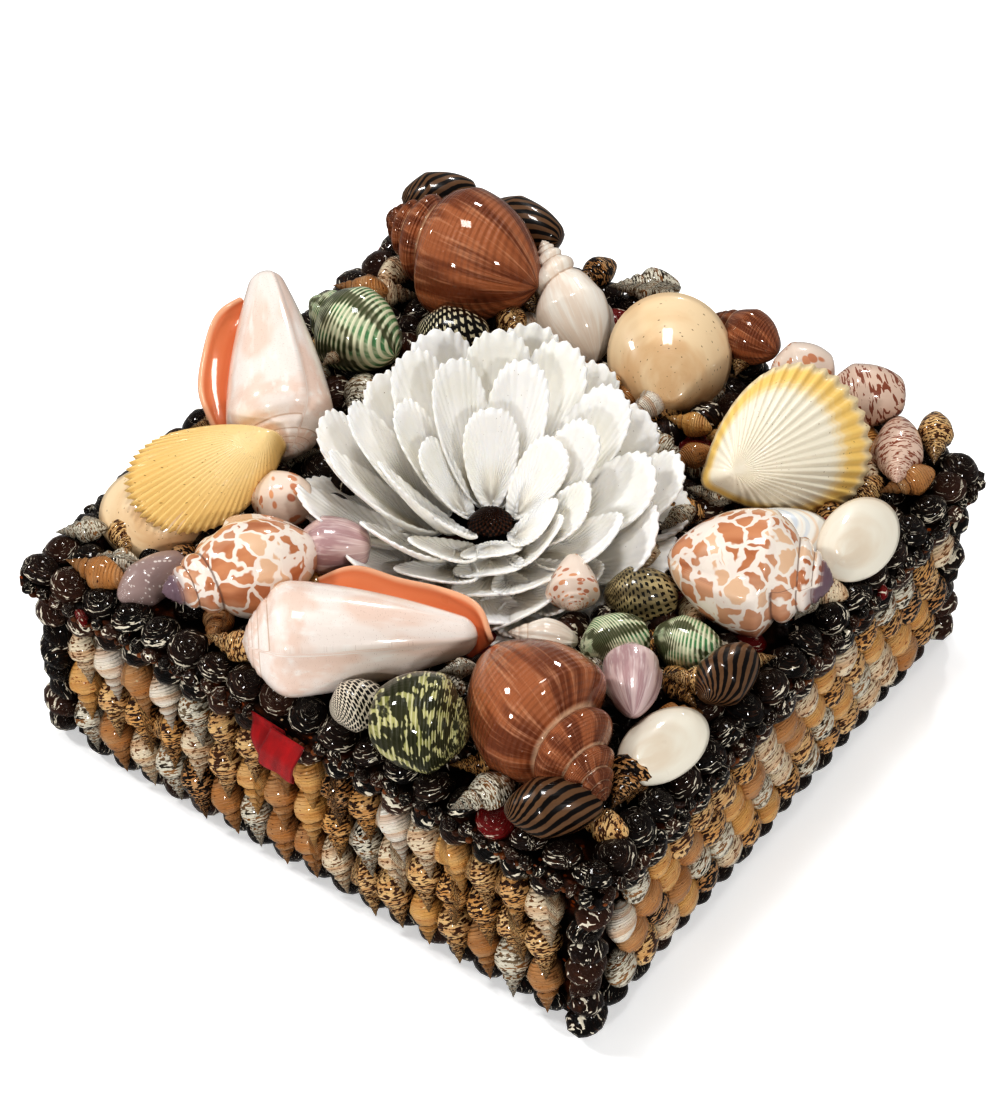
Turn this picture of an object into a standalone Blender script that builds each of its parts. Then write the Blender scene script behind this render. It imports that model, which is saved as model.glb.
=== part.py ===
"""Shell-covered trinket box: a square board box whose walls, rim and lift-off lid carry glued sea shells."""

import math

import bmesh
import bpy
from mathutils import Euler, Matrix, Vector

MM = 0.001

# Overall sizes, measured over the shells
BOX_WIDTH = 180 * MM
BOX_DEPTH = 178 * MM
WALL_HEIGHT = 57.5 * MM

# Boards
SHELL_BUILD_UP = 8.5 * MM
WALL_BOARD = 4 * MM
FLOOR_BOARD = 4 * MM
LID_BOARD = 3.4 * MM
LID_SETBACK = 0.6 * MM
GAP = 0.3 * MM

# Rows of dark nerites at the rim and the foot, and the stacks of them up the corners
RIM_ROW_HEIGHT = 10.5 * MM
FOOT_ROW_HEIGHT = 9.5 * MM
FOOT_CLEARANCE = 0.4 * MM
NERITE_PITCH = 9.2 * MM
CORNER_REACH = 7.6 * MM
CORNER_LAP = 0.62
CORNER_BEADS = 6

# Shell fields between those rows
SPINDLE_PITCH = 8.9 * MM
SPINDLE_COURSES = 3
SCALE_PITCH = 9.4 * MM
SCALE_COURSES = 4
BED = 1.4 * MM

# Button shells along the lid's edges
BORDER_WIDTH = 6.8 * MM
BORDER_HEIGHT = 5 * MM
BUTTON_PITCH = 10.4 * MM

# How far the outermost shells on the lid reach over the border, at the sides and at the front or back
SIDE_OVERLAP = 7.86 * MM
END_OVERLAP = 9.88 * MM

# Ribbon tab
TAB_WIDTH = 13 * MM
TAB_DROP = 10 * MM
TAB_THICKNESS = 0.9 * MM
TAB_FOLD = 0.6 * MM
TAB_STAND_OFF = 3.2 * MM
TAB_CENTRE = -3.5 * MM

# Flower
FLOWER_CENTRE = (0 * MM, -8 * MM)
PETAL_WALL = 1.3 * MM
CAP_WIDTH = 12 * MM
CAP_HEIGHT = 6 * MM

# Worked out from the sizes above
CARCASS_WIDTH = BOX_WIDTH - 2 * SHELL_BUILD_UP
CARCASS_DEPTH = BOX_DEPTH - 2 * SHELL_BUILD_UP
LID_WIDTH = BOX_WIDTH - 2 * LID_SETBACK
LID_DEPTH = BOX_DEPTH - 2 * LID_SETBACK
LID_BOTTOM = WALL_HEIGHT + GAP
LID_TOP = LID_BOTTOM + LID_BOARD
SHELF = LID_TOP + GAP


def arrangement():
    """An empty on the lid that carries the flower and the large shells."""
    holder = bpy.data.objects.new("arrangement", None)
    holder.location = (0, 0, SHELF)
    bpy.context.scene.collection.objects.link(holder)
    return holder


def fit_to_lid(holder):
    """Stretches the arrangement so that it fills the lid and laps over its border as it should."""
    bpy.context.view_layer.update()
    room = (LID_WIDTH / 2 - BORDER_WIDTH, LID_DEPTH / 2 - BORDER_WIDTH)
    for axis, overlap in enumerate((SIDE_OVERLAP, END_OVERLAP)):
        reach = max(abs((piece.matrix_world @ corner.co)[axis]) for piece in holder.children
                    for corner in piece.data.vertices)
        holder.scale[axis] = room[axis] / (reach - overlap)


def finish(name, colour, roughness, metallic=0.0):
    """A plain material for one kind of piece."""
    material = bpy.data.materials.get(name) or bpy.data.materials.new(name)
    material.use_nodes = True
    shader = material.node_tree.nodes["Principled BSDF"]
    shader.inputs["Base Color"].default_value = (*colour, 1.0)
    shader.inputs["Roughness"].default_value = roughness
    shader.inputs["Metallic"].default_value = metallic
    return material


def add_piece(name, points, faces, material, place=Matrix.Identity(4), holder=None):
    """One closed body from points and faces, facing out, with its place held by the object. With a holder,
    the place is measured from it."""
    mesh = bpy.data.meshes.new(name)
    mesh.from_pydata([tuple(point) for point in points], [], faces)
    shell = bmesh.new()
    shell.from_mesh(mesh)
    bmesh.ops.recalc_face_normals(shell, faces=shell.faces)
    shell.to_mesh(mesh)
    shell.free()
    mesh.shade_smooth()
    mesh.set_sharp_from_angle(angle=math.radians(50))
    mesh.materials.append(material)
    piece = bpy.data.objects.new(name, mesh)
    piece.parent = holder
    piece.matrix_local = place
    bpy.context.scene.collection.objects.link(piece)
    return piece


def loft(rings):
    """Faces between rings that follow each other; a ring of one point is a pole."""
    points = [point for ring in rings for point in ring]
    faces = []
    start = 0
    for here, there in zip(rings, rings[1:]):
        after = start + len(here)
        count = max(len(here), len(there))
        for i in range(count):
            j = (i + 1) % count
            near = [start + i % len(here), start + j % len(here)]
            far = [after + j % len(there), after + i % len(there)]
            faces.append(list(dict.fromkeys(near + far)))
        start = after
    return points, faces


def board(name, low, high, material):
    """A flat board between two opposite corners."""
    rings = []
    for z in (low[2], high[2]):
        rings.append([Vector((x, y, z)) for x, y in (
            (low[0], low[1]), (high[0], low[1]), (high[0], high[1]), (low[0], high[1]))])
    points, faces = loft(rings)
    faces += [[0, 1, 2, 3], [4, 5, 6, 7]]
    return add_piece(name, points, faces, material)


def carcass(material):
    """The open box of boards: floor and four walls in one piece."""
    half_x = CARCASS_WIDTH / 2
    half_y = CARCASS_DEPTH / 2
    rings = []
    for inset, z in ((0, 0), (0, WALL_HEIGHT), (WALL_BOARD, WALL_HEIGHT), (WALL_BOARD, FLOOR_BOARD)):
        x = half_x - inset
        y = half_y - inset
        rings.append([Vector(p) for p in ((-x, -y, z), (x, -y, z), (x, y, z), (-x, y, z))])
    points, faces = loft(rings)
    last = len(points) - 4
    faces += [[0, 1, 2, 3], [last, last + 1, last + 2, last + 3]]
    return add_piece("box_carcass", points, faces, material)


# Rows and fields of small shells: one closed relief on a thin bed of glue

def mound(low, high, place):
    """Faces of a round shell between its three low and three high edge points, place adds an inner one."""
    a, b, c, d = (place(across, up, 1.0) for across, up in ((0.27, 0.28), (0.73, 0.28), (0.73, 0.72), (0.27, 0.72)))
    return [
        [low[0], low[1], a], [low[1], b, a], [low[1], low[2], b], [low[2], high[2], c, b],
        [high[2], high[1], c], [high[1], d, c], [high[1], high[0], d], [high[0], low[0], a, d], [a, b, c, d],
    ]


def ridge(low, high, place):
    """Faces of a long shell, its body high up and its tip low down on one middle line."""
    tip = place(0.5, 0.3, 0.8)
    body = place(0.5, 0.7, 1.0)
    return [
        [low[0], low[1], tip], [low[1], low[2], tip], [low[0], tip, body, high[0]],
        [low[2], high[2], body, tip], [high[0], body, high[1]], [high[1], body, high[2]],
    ]


def relief(name, frame, length, height, columns, courses, edge_rise, crown_rise, shell, material, stagger=False):
    """Small shells in columns and courses on a bed of glue. The corners of each cell lie on the bed, the
    middle of its lower and upper edge at edge_rise, and shell gives the faces between them, up to
    crown_rise. frame maps (along, up, out) to the object."""
    steps = 2 * columns
    grid = {}
    points = []

    def point(along, up, out):
        points.append(frame(along * length, up * height, out))
        return len(points) - 1

    for course in range(courses + 1):
        for step in range(steps + 1):
            middle = (step + (course if stagger else 0)) % 2 == 1 and 0 < step < steps
            grid[course, step] = point(step / steps, course / courses, edge_rise if middle else BED)
    faces = []
    for course in range(courses):
        shift = 1 if stagger and course % 2 else 0
        for step in range(shift, steps - 1, 2):

            def place(across, up, share):
                return point((step + 2 * across) / steps, (course + up) / courses, share * crown_rise)

            low = [grid[course, step + k] for k in range(3)]
            high = [grid[course + 1, step + k] for k in range(3)]
            faces += shell(low, high, place)
        if shift:
            for step in (0, steps - 1):
                faces.append([grid[course, step], grid[course, step + 1],
                              grid[course + 1, step + 1], grid[course + 1, step]])
    back = [point(along, up, 0) for along, up in ((0, 0), (1, 0), (1, 1), (0, 1))]
    bottom = [grid[0, step] for step in range(steps + 1)]
    top = [grid[courses, step] for step in range(steps + 1)]
    left = [grid[course, 0] for course in range(courses + 1)]
    right = [grid[course, steps] for course in range(courses + 1)]
    faces.append([back[0], back[1]] + bottom[::-1])
    faces.append([back[3], back[2]] + top[::-1])
    faces.append([back[0], back[3]] + left[::-1])
    faces.append([back[1], back[2]] + right[::-1])
    faces.append(back)
    return add_piece(name, points, faces, material)


def wall_frame(turns, along_start, up_start, out_start):
    """Coordinates on a wall: along it, up it and out of it. turns counts quarter turns from the front."""
    spin = Matrix.Rotation(turns * math.pi / 2, 3, "Z")

    def frame(along, up, out):
        return spin @ Vector((along_start + along, -(out_start + out), up_start + up))

    return frame


def lid_frame(turns, along_start, edge):
    """Coordinates on the lid beside one edge: along it, in from it and up."""
    spin = Matrix.Rotation(turns * math.pi / 2, 3, "Z")

    def frame(along, inward, up):
        return spin @ Vector((along_start + along, -edge + inward, SHELF + up))

    return frame


SIDES = ("front", "right", "back", "left")


def side_sizes(turns):
    """Length of a wall of the carcass and its distance from the middle."""
    if turns % 2 == 0:
        return CARCASS_WIDTH, CARCASS_DEPTH / 2
    return CARCASS_DEPTH, CARCASS_WIDTH / 2


def wall_shells(dark, spindle, scale):
    """Foot row, field and rim row of each wall."""
    build_up = SHELL_BUILD_UP - GAP
    for turns, side in enumerate(SIDES):
        length, distance = side_sizes(turns)
        run = length - 2 * (CORNER_LAP * CORNER_REACH + GAP)
        nerites = round(run / NERITE_PITCH)
        foot = FOOT_CLEARANCE
        field = foot + FOOT_ROW_HEIGHT + GAP
        rim = WALL_HEIGHT - RIM_ROW_HEIGHT
        height = rim - GAP - field
        out = distance + GAP
        relief(side + "_foot_nerites", wall_frame(turns, -run / 2, foot, out), run, FOOT_ROW_HEIGHT,
               nerites, 1, 0.75 * build_up, build_up, ridge, dark)
        relief(side + "_rim_nerites", wall_frame(turns, -run / 2, rim, out), run, RIM_ROW_HEIGHT,
               nerites, 1, 0.6 * build_up, build_up, mound, dark)
        at = wall_frame(turns, -run / 2, field, out)
        if turns % 2 == 0:
            relief(side + "_wall_spindles", at, run, height, round(run / SPINDLE_PITCH), SPINDLE_COURSES,
                   0.66 * build_up, 0.92 * build_up, ridge, spindle)
        else:
            relief(side + "_wall_scales", at, run, height, round(run / SCALE_PITCH), SCALE_COURSES,
                   0.6 * build_up, 0.85 * build_up, ridge, scale, stagger=True)


def corner_columns(dark):
    """A stack of dark nerites round each corner of the carcass, notched to sit over the corner."""
    arc = [(CORNER_LAP, -0.55), (0.95, 0.3), (0.3, 0.95), (-0.55, CORNER_LAP)]
    foot = FOOT_CLEARANCE
    step = (WALL_HEIGHT - foot) / (2 * CORNER_BEADS)
    names = ("front_right", "back_right", "back_left", "front_left")
    for turns, name in enumerate(names):
        spin = Matrix.Rotation(turns * math.pi / 2, 3, "Z")
        length, distance = side_sizes(turns)
        corner = Vector((length / 2, distance))
        rings = []
        for level in range(2 * CORNER_BEADS + 1):
            swell = 1.0 if level % 2 else 0.74
            ring = [(GAP, -0.6 * CORNER_REACH)]
            ring += [(x * swell * CORNER_REACH, y * swell * CORNER_REACH) for x, y in arc]
            ring += [(-0.6 * CORNER_REACH, GAP), (GAP, GAP)]
            z = foot + level * step
            rings.append([spin @ Vector((corner.x + x, -corner.y - y, z)) for x, y in ring])
        points, faces = loft(rings)
        count = len(rings[0])
        last = len(points) - count
        faces += [list(range(count)), list(range(last, last + count))]
        add_piece(name + "_corner_nerites", points, faces, dark)


def lid_border(dark):
    """A row of button shells, small cones, along each edge of the lid."""
    for turns, side in enumerate(SIDES):
        if turns % 2 == 0:
            run = LID_WIDTH
            edge = LID_DEPTH / 2
        else:
            run = LID_DEPTH - 2 * (BORDER_WIDTH + GAP)
            edge = LID_WIDTH / 2
        relief(side + "_lid_buttons", lid_frame(turns, -run / 2, edge), run, BORDER_WIDTH,
               round(run / BUTTON_PITCH), 1, 0.35 * BORDER_HEIGHT, BORDER_HEIGHT, mound, dark)


def pull_tab(material):
    """A folded ribbon, fixed to the lid's front edge and hanging over the rim row."""
    front = -LID_DEPTH / 2 - GAP
    half = TAB_WIDTH / 2
    centre_line = [
        (0, LID_TOP - TAB_FOLD),
        (0, LID_BOTTOM + 2 * TAB_FOLD),
        (0.4 * TAB_STAND_OFF, LID_BOTTOM + 0.7 * TAB_FOLD),
        (0.55 * TAB_STAND_OFF, WALL_HEIGHT - 0.2 * TAB_DROP),
        (0.9 * TAB_STAND_OFF, WALL_HEIGHT - 0.55 * TAB_DROP),
        (TAB_STAND_OFF, WALL_HEIGHT - TAB_DROP),
    ]
    rings = []
    for out, z in centre_line:
        y = front - out
        rings.append([Vector(p) for p in (
            (TAB_CENTRE - half, y, z), (TAB_CENTRE + half, y, z),
            (TAB_CENTRE + half, y - TAB_THICKNESS, z), (TAB_CENTRE - half, y - TAB_THICKNESS, z))])
    points, faces = loft(rings)
    last = len(points) - 4
    faces += [[0, 1, 2, 3], [last, last + 1, last + 2, last + 3]]
    add_piece("pull_tab", points, faces, material)


# Large shells on the lid

def stand(name, points, faces, material, at, lift, heading, pitch, roll):
    """Turns a shell, moves its middle over at and sets its lowest point on the lid, lift above it. The
    lift counts heights of the border."""
    turn = Euler((math.radians(roll), -math.radians(pitch), math.radians(heading)), "XYZ").to_matrix()
    turned = [turn @ point for point in points]
    low = [min(point[i] for point in turned) for i in range(3)]
    high = [max(point[i] for point in turned) for i in range(3)]
    shift = Vector((
        at[0] * MM - (low[0] + high[0]) / 2,
        at[1] * MM - (low[1] + high[1]) / 2,
        lift * BORDER_HEIGHT - low[2],
    ))
    place = Matrix.Translation(shift) @ turn.to_4x4()
    return add_piece(name, points, faces, material, place, bpy.data.objects["arrangement"])


def coiled_shell(name, material, at, heading, length, girth, shoulder=0.4, whorls=2, sides=8, lip=0.12,
                 blunt=0.15, spire_power=0.8, body_power=2.4, press=1.0, lift=0, pitch=0, roll=0):
    """A sea snail's shell lying on its side, apex at -X: a stepped spire of whorls up to the shoulder, a
    body whorl that narrows to the base, and a cross-section that spirals out to the lip."""
    length *= MM
    radius = girth * MM / 2
    stations = [(0.0, 0.0, 0.0)]
    for whorl in range(whorls):
        first = shoulder * whorl / whorls
        last = shoulder * (whorl + 1) / whorls
        middle = (first + 0.62 * (last - first)) / shoulder
        if whorl:
            stations.append((first, 0.8 * (first / shoulder) ** spire_power, 0.0))
        stations.append((middle * shoulder, middle ** spire_power, 0.3 if whorl == whorls - 1 else 0.0))
    for share in (0.12, 0.5, 0.84):
        stations.append((shoulder + share * (1 - shoulder), 1 - (1 - blunt) * share ** body_power, 1.0))
    stations.append((1.0, 0.0, 0.0))
    rings = []
    for along, size, open_share in stations:
        x = (along - 0.5) * length
        if size == 0.0:
            rings.append([Vector((x, 0, 0))])
            continue
        ring = []
        for side in range(sides):
            turn = side / sides
            reach = radius * size * (1 + lip * open_share * (turn * 1.6 - 0.6 if turn > 0.375 else 0))
            angle = 2 * math.pi * turn
            ring.append(Vector((x, reach * math.cos(angle), press * reach * math.sin(angle))))
        rings.append(ring)
    points, faces = loft(rings)
    return stand(name, points, faces, material, at, lift, heading, pitch, roll)


def round_shell(name, material, at, heading, length, girth, **turned):
    """A nerite, moon or cowrie: a coiled shell with hardly any spire and both ends round."""
    return coiled_shell(name, material, at, heading, length, girth, shoulder=0.34, whorls=1, blunt=0.42,
                        spire_power=0.55, body_power=2.8, **turned)


def valve(name, material, at, heading, length, width, dome, wall=2.0, ribs=0, sides=12, fan=0.0,
          umbo=0.16, lift=0, pitch=0, roll=0):
    """One half of a bivalve: hinge at -X, rim towards +X, a domed back, a hollow below of the wall's
    thickness (none where wall is 0) and ribs that notch the rim."""
    length *= MM
    width *= MM
    dome *= MM
    wall *= MM
    count = 2 * ribs if ribs else sides
    heart = Vector((umbo * length, 0, 0))

    def ring(share, height):
        rim = []
        for i in range(count):
            angle = 2 * math.pi * (i + 0.5) / count
            along = (1 - math.cos(angle)) / 2
            notch = 1 - (0.035 if ribs and i % 2 else 0)
            across = math.sin(angle) * max(along, 0.05) ** fan
            edge = Vector((along * length, width / 2 * across, 0)) * notch
            point = heart.lerp(edge, share)
            point.z = height
            rim.append(point)
        return rim

    rings = [[Vector((heart.x, 0, dome))], ring(0.55, 0.82 * dome), ring(1.0, 0.0)]
    if wall:
        rings += [ring(0.55, 0.82 * dome - wall), [Vector((heart.x, 0, dome - wall))]]
    else:
        rings += [[Vector((length / 2, 0, 0))]]
    points, faces = loft(rings)
    return stand(name, points, faces, material, at, lift, heading, pitch, roll)


def petal_ring(name, material, petals, foot_radius, foot_height, reach, rise, turn, curl=1.7):
    """A ring of ribbed half shells set like petals, joined at their foot into one lobed cup. Towards the
    front right corner the petals are shorter and lie lower."""
    samples = 4
    count = petals * samples
    shares = (0.0, 0.45, 1.0)
    front = math.radians(-55)

    def ring(share, drop):
        points = []
        for i in range(count):
            angle = 2 * math.pi * (i + turn) / count
            lobe = math.sin(math.pi * ((i % samples) + 0.5) / samples) if share else 1.0
            facing = math.cos(angle - front)
            short = 1 - 0.24 * max(0.0, facing)
            steep = 1 - 0.36 * facing
            out = foot_radius + (reach * short - foot_radius) * share * (0.7 + 0.3 * lobe)
            up = foot_height + rise * steep * share ** curl * (0.9 + 0.1 * lobe) - drop
            points.append(Vector((
                FLOWER_CENTRE[0] + out * math.cos(angle), FLOWER_CENTRE[1] + out * math.sin(angle), up)))
        return points

    centre = Vector((*FLOWER_CENTRE, foot_height))
    rings = [[centre]] + [ring(share, 0) for share in shares]
    rings += [ring(share, PETAL_WALL) for share in shares[:0:-1]]
    rings += [ring(0.0, PETAL_WALL), [centre - Vector((0, 0, PETAL_WALL))]]
    points, faces = loft(rings)
    return add_piece(name, points, faces, material, holder=bpy.data.objects["arrangement"])


def flower(white, brown):
    """Three rings of petals, each cup set inside the one before, and a brown cap in the middle."""
    step = PETAL_WALL + GAP
    petal_ring("outer_petals", white, 11, 9 * MM, PETAL_WALL, 49 * MM, 20 * MM, 0.5)
    petal_ring("middle_petals", white, 9, 8 * MM, PETAL_WALL + step, 37 * MM, 24 * MM, 2.0, curl=1.35)
    petal_ring("inner_petals", white, 7, 7 * MM, PETAL_WALL + 2 * step, 24 * MM, 20 * MM, 1.0, curl=1.1)
    foot = PETAL_WALL + 2 * step + GAP
    rings = [[Vector((*FLOWER_CENTRE, foot))]]
    sides = 12
    for share, height in ((0.9, 0.0), (1.0, 0.35), (0.55, 0.8)):
        ring = []
        for side in range(sides):
            angle = 2 * math.pi * side / sides
            out = CAP_WIDTH / 2 * share * (1.0 if side % 2 else 0.9)
            ring.append(Vector((FLOWER_CENTRE[0] + out * math.cos(angle),
                                FLOWER_CENTRE[1] + out * math.sin(angle), foot + height * CAP_HEIGHT)))
        rings.append(ring)
    rings.append([Vector((*FLOWER_CENTRE, foot + CAP_HEIGHT))])
    points, faces = loft(rings)
    add_piece("flower_cap", points, faces, brown, holder=bpy.data.objects["arrangement"])


def front_shells(paint):
    """Shells along the front. Places are millimetres from the middle of the lid."""
    coiled_shell("front_conch", paint["pale"], (1, -67), 38, 57, 28, shoulder=0.2, whorls=2, lip=0.4,
                 body_power=1.3, blunt=0.2, press=0.9, roll=150)
    coiled_shell("front_babylon", paint["mottled"], (-36, -63), 47, 42, 25, shoulder=0.46, whorls=3, roll=40)
    round_shell("olive_turban", paint["green"], (30.5, -79.5), 205, 25, 24, lift=0.9, roll=30)
    coiled_shell("front_whelk", paint["brown"], (55, -60), 168, 52, 35, shoulder=0.45, whorls=3, lip=0.2,
                 pitch=4, sides=10)
    round_shell("front_zebra", paint["dark"], (70, -79), 45, 24, 15, lift=0.8)
    round_shell("check_top", paint["check"], (12, -80.5), 60, 14, 13, lift=0.9)
    round_shell("lilac_cowrie", paint["pale"], (-58, -74), 78, 21, 12)
    valve("tan_clam", paint["tan"], (-70, -56), 200, 28, 26, 8, lift=0.5, roll=-6)
    valve("yellow_cockle", paint["yellow"], (-67, -39), 214, 42, 33, 9, ribs=9, fan=0.35, lift=2.2, roll=-36)
    round_shell("spotted_moon", paint["mottled"], (-44, -36), 36, 16, 15)
    round_shell("mauve_moon", paint["pale"], (-24, -42), 32, 16, 13)


def right_shells(paint):
    """Shells along the right edge."""
    valve("cream_clam", paint["pale"], (78.5, -46), 80, 28, 17, 7, lift=1, roll=20)
    coiled_shell("teardrop_cone", paint["pale"], (62.5, -36.5), -55, 27, 14, shoulder=0.3, whorls=1, lift=1, pitch=8)
    round_shell("green_turban", paint["green"], (49, -24), 60, 18, 15)
    round_shell("striped_turban", paint["green"], (64, -14), 10, 18, 14)
    round_shell("right_zebra", paint["dark"], (79, -20), 86, 20, 14, lift=0.8)
    coiled_shell("ribbed_cone", paint["pale"], (33, -31), 25, 18, 10, shoulder=0.5, whorls=1)
    round_shell("olive_nerite", paint["check"], (46, -7), 36, 19, 15)
    coiled_shell("right_babylon", paint["mottled"], (67, 9), 204, 42, 31, shoulder=0.4, whorls=3, roll=30, sides=10)
    valve("white_clam", paint["pale"], (80, 40), 90, 30, 19, 6, lift=1, roll=25)
    valve("scallop", paint["yellow"], (53, 50), 47, 46, 48, 9, ribs=11, fan=0.35, pitch=11, roll=43, lift=0.8)


def back_shells(paint):
    """Shells along the left edge and the back."""
    coiled_shell("left_conch", paint["pale"], (-71, -5), 133, 57, 26, shoulder=0.2, whorls=2, lip=0.4,
                 body_power=1.3, blunt=0.2, press=0.9, roll=120, pitch=18)
    coiled_shell("left_turban", paint["green"], (-69, 25), -8, 32, 23, shoulder=0.45, whorls=2)
    round_shell("yellow_flecked_nerite", paint["check"], (-46, 39), 28, 20, 16, lift=0.6)
    coiled_shell("back_whelk", paint["brown"], (-60, 61), 0, 50, 33, shoulder=0.42, whorls=3, lip=0.2)
    coiled_shell("white_whelk", paint["pale"], (-27, 64), -30, 38, 19, shoulder=0.5, whorls=3, lift=0.4, pitch=-24)
    valve("tan_disc", paint["tan"], (5, 65), 125, 34, 33, 11, pitch=44)
    round_shell("corner_zebra", paint["dark"], (-80, 80), 42, 21, 14, lift=1.4)
    round_shell("back_zebra", paint["dark"], (-55, 84), 0, 24, 14, lift=1.4)
    coiled_shell("brown_cone", paint["brown"], (17, 84), -8, 22, 15, shoulder=0.5, whorls=1, lift=1)
    round_shell("cream_moon", paint["pale"], (37, 81.5), 38, 17, 16, lift=0.8)
    round_shell("pink_turban", paint["mottled"], (56, 82.3), 36, 21, 17, lift=1)
    coiled_shell("pink_cone", paint["mottled"], (71, 73), 120, 24, 13, shoulder=0.4, whorls=1, lift=0.6)


def main():
    for old in list(bpy.data.objects):
        bpy.data.objects.remove(old)
    wood = finish("dark board", (0.05, 0.03, 0.02), 0.5)
    dark = finish("dark nerite", (0.03, 0.015, 0.01), 0.25)
    spindle = finish("orange spindle", (0.65, 0.36, 0.15), 0.3)
    scale = finish("cream scale", (0.75, 0.5, 0.3), 0.3)
    ribbon = finish("red ribbon", (0.55, 0.02, 0.03), 0.8)
    white = finish("white petal", (0.88, 0.87, 0.83), 0.35)
    brown = finish("brown cap", (0.1, 0.05, 0.03), 0.4)
    paint = {
        "pale": finish("pale shell", (0.85, 0.75, 0.68), 0.25),
        "mottled": finish("mottled shell", (0.7, 0.45, 0.3), 0.25),
        "brown": finish("brown shell", (0.42, 0.18, 0.09), 0.25),
        "green": finish("green shell", (0.3, 0.34, 0.14), 0.25),
        "dark": finish("striped shell", (0.06, 0.04, 0.03), 0.2),
        "check": finish("chequered shell", (0.22, 0.19, 0.16), 0.25),
        "tan": finish("tan shell", (0.72, 0.52, 0.33), 0.3),
        "yellow": finish("yellow shell", (0.85, 0.66, 0.28), 0.35),
    }
    carcass(wood)
    board("lid_board", (-LID_WIDTH / 2, -LID_DEPTH / 2, LID_BOTTOM), (LID_WIDTH / 2, LID_DEPTH / 2, LID_TOP), wood)
    wall_shells(dark, spindle, scale)
    corner_columns(dark)
    lid_border(dark)
    pull_tab(ribbon)
    lid_shells = arrangement()
    flower(white, brown)
    front_shells(paint)
    right_shells(paint)
    back_shells(paint)
    fit_to_lid(lid_shells)


main()
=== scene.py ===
# %% [markdown]
# # A trinket box covered in sea shells
# The box is a square of dark boards with a lid that lifts off. Every wall carries rows of small glued
# shells, the lid carries large ones round a flower of white half shells, and all of it is varnished.
# The imported model is loaded first. It is the frame that every shell below is set on.

# %% Load the frame
import math
import random

import bpy
import numpy as np
from mathutils import Euler, Matrix, Vector


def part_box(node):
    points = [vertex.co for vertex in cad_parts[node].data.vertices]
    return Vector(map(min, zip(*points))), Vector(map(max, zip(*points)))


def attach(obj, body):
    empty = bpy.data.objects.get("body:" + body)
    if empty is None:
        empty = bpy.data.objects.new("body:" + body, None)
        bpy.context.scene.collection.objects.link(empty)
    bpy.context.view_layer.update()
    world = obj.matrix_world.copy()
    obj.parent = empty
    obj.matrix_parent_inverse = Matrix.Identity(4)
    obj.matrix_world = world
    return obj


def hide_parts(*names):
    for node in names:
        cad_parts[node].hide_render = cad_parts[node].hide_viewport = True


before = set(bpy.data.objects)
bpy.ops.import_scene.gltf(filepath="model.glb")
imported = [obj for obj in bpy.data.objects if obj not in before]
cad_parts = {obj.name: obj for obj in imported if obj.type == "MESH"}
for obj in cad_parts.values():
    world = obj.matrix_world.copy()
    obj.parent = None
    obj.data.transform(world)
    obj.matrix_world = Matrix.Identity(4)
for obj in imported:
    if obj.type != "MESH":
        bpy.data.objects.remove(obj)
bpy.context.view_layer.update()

MM = 0.001

# %% [markdown]
# ## The camera
# The place of a camera can be worked out from the corners of a box whose sides are known. Here the two
# visible walls gave the turn round the box, the height and the distance. The lens is long, so the far
# corner is hardly smaller than the near one. The camera is turned by a matrix of its own three axes,
# because it also leans by a little under one degree.

# %% Camera
AZIMUTH = math.radians(35.03)
ELEVATION = math.radians(45.88)
LEAN = math.radians(0.819)
CAMERA_PLACE = Vector((412.0, -591.6, 795.0)) * MM

back = Vector((math.sin(AZIMUTH) * math.cos(ELEVATION), -math.cos(AZIMUTH) * math.cos(ELEVATION),
               math.sin(ELEVATION)))
right = Vector((math.cos(AZIMUTH), math.sin(AZIMUTH), 0.0))
up = back.cross(right)
camera_data = bpy.data.cameras.new("camera")
camera_data.lens = 130.9
camera_data.sensor_width = 36.0
camera_data.clip_start = 0.05
camera_data.clip_end = 20.0
camera = bpy.data.objects.new("camera", camera_data)
bpy.context.scene.collection.objects.link(camera)
side = right * math.cos(LEAN) + up * math.sin(LEAN)
head = up * math.cos(LEAN) - right * math.sin(LEAN)
camera.matrix_world = Matrix.Translation(CAMERA_PLACE) @ Matrix((side, head, back)).transposed().to_4x4()
bpy.context.scene.camera = camera
print("camera at", [round(v, 3) for v in camera.location])

# %% [markdown]
# ## Floor and light
# The box stands on a plain white surface under soft boxes. A soft box is an area light: the larger it is,
# the softer the shadow. Varnish shows each light as a bright patch, so there are several of middling
# size, and the world itself stays dim. The white floor is kept out of the gloss as well. Both keep the
# dark shells dark.

# %% Floor, lights and world
def select_only(*pieces):
    """Selects these pieces and no others; the first is the active one."""
    bpy.ops.object.select_all(action="DESELECT")
    for piece in pieces:
        piece.select_set(True)
    if pieces:
        bpy.context.view_layer.objects.active = pieces[0]


BOX_MIDDLE = Vector((0.0, 0.0, 0.05))
LIGHTS = (
    # name, place, size, watts
    ("top_box", (-0.1, 0.15, 1.15), 0.22, 3.6),
    ("left_box", (-0.85, -0.35, 0.75), 0.12, 3.3),
    ("right_box", (0.85, -0.25, 0.7), 0.08, 1.8),
    ("front_box", (0.15, -1.05, 0.5), 0.09, 2.3),
    ("back_box", (-0.3, 0.9, 0.75), 0.1, 1.8),
)
for name, place, size, watts in LIGHTS:
    lamp = bpy.data.lights.new(name, "AREA")
    lamp.shape = "SQUARE"
    lamp.size = size
    lamp.energy = watts
    light = bpy.data.objects.new(name, lamp)
    light.location = place
    light.rotation_euler = (BOX_MIDDLE - Vector(place)).to_track_quat("-Z", "Y").to_euler()
    bpy.context.scene.collection.objects.link(light)

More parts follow.
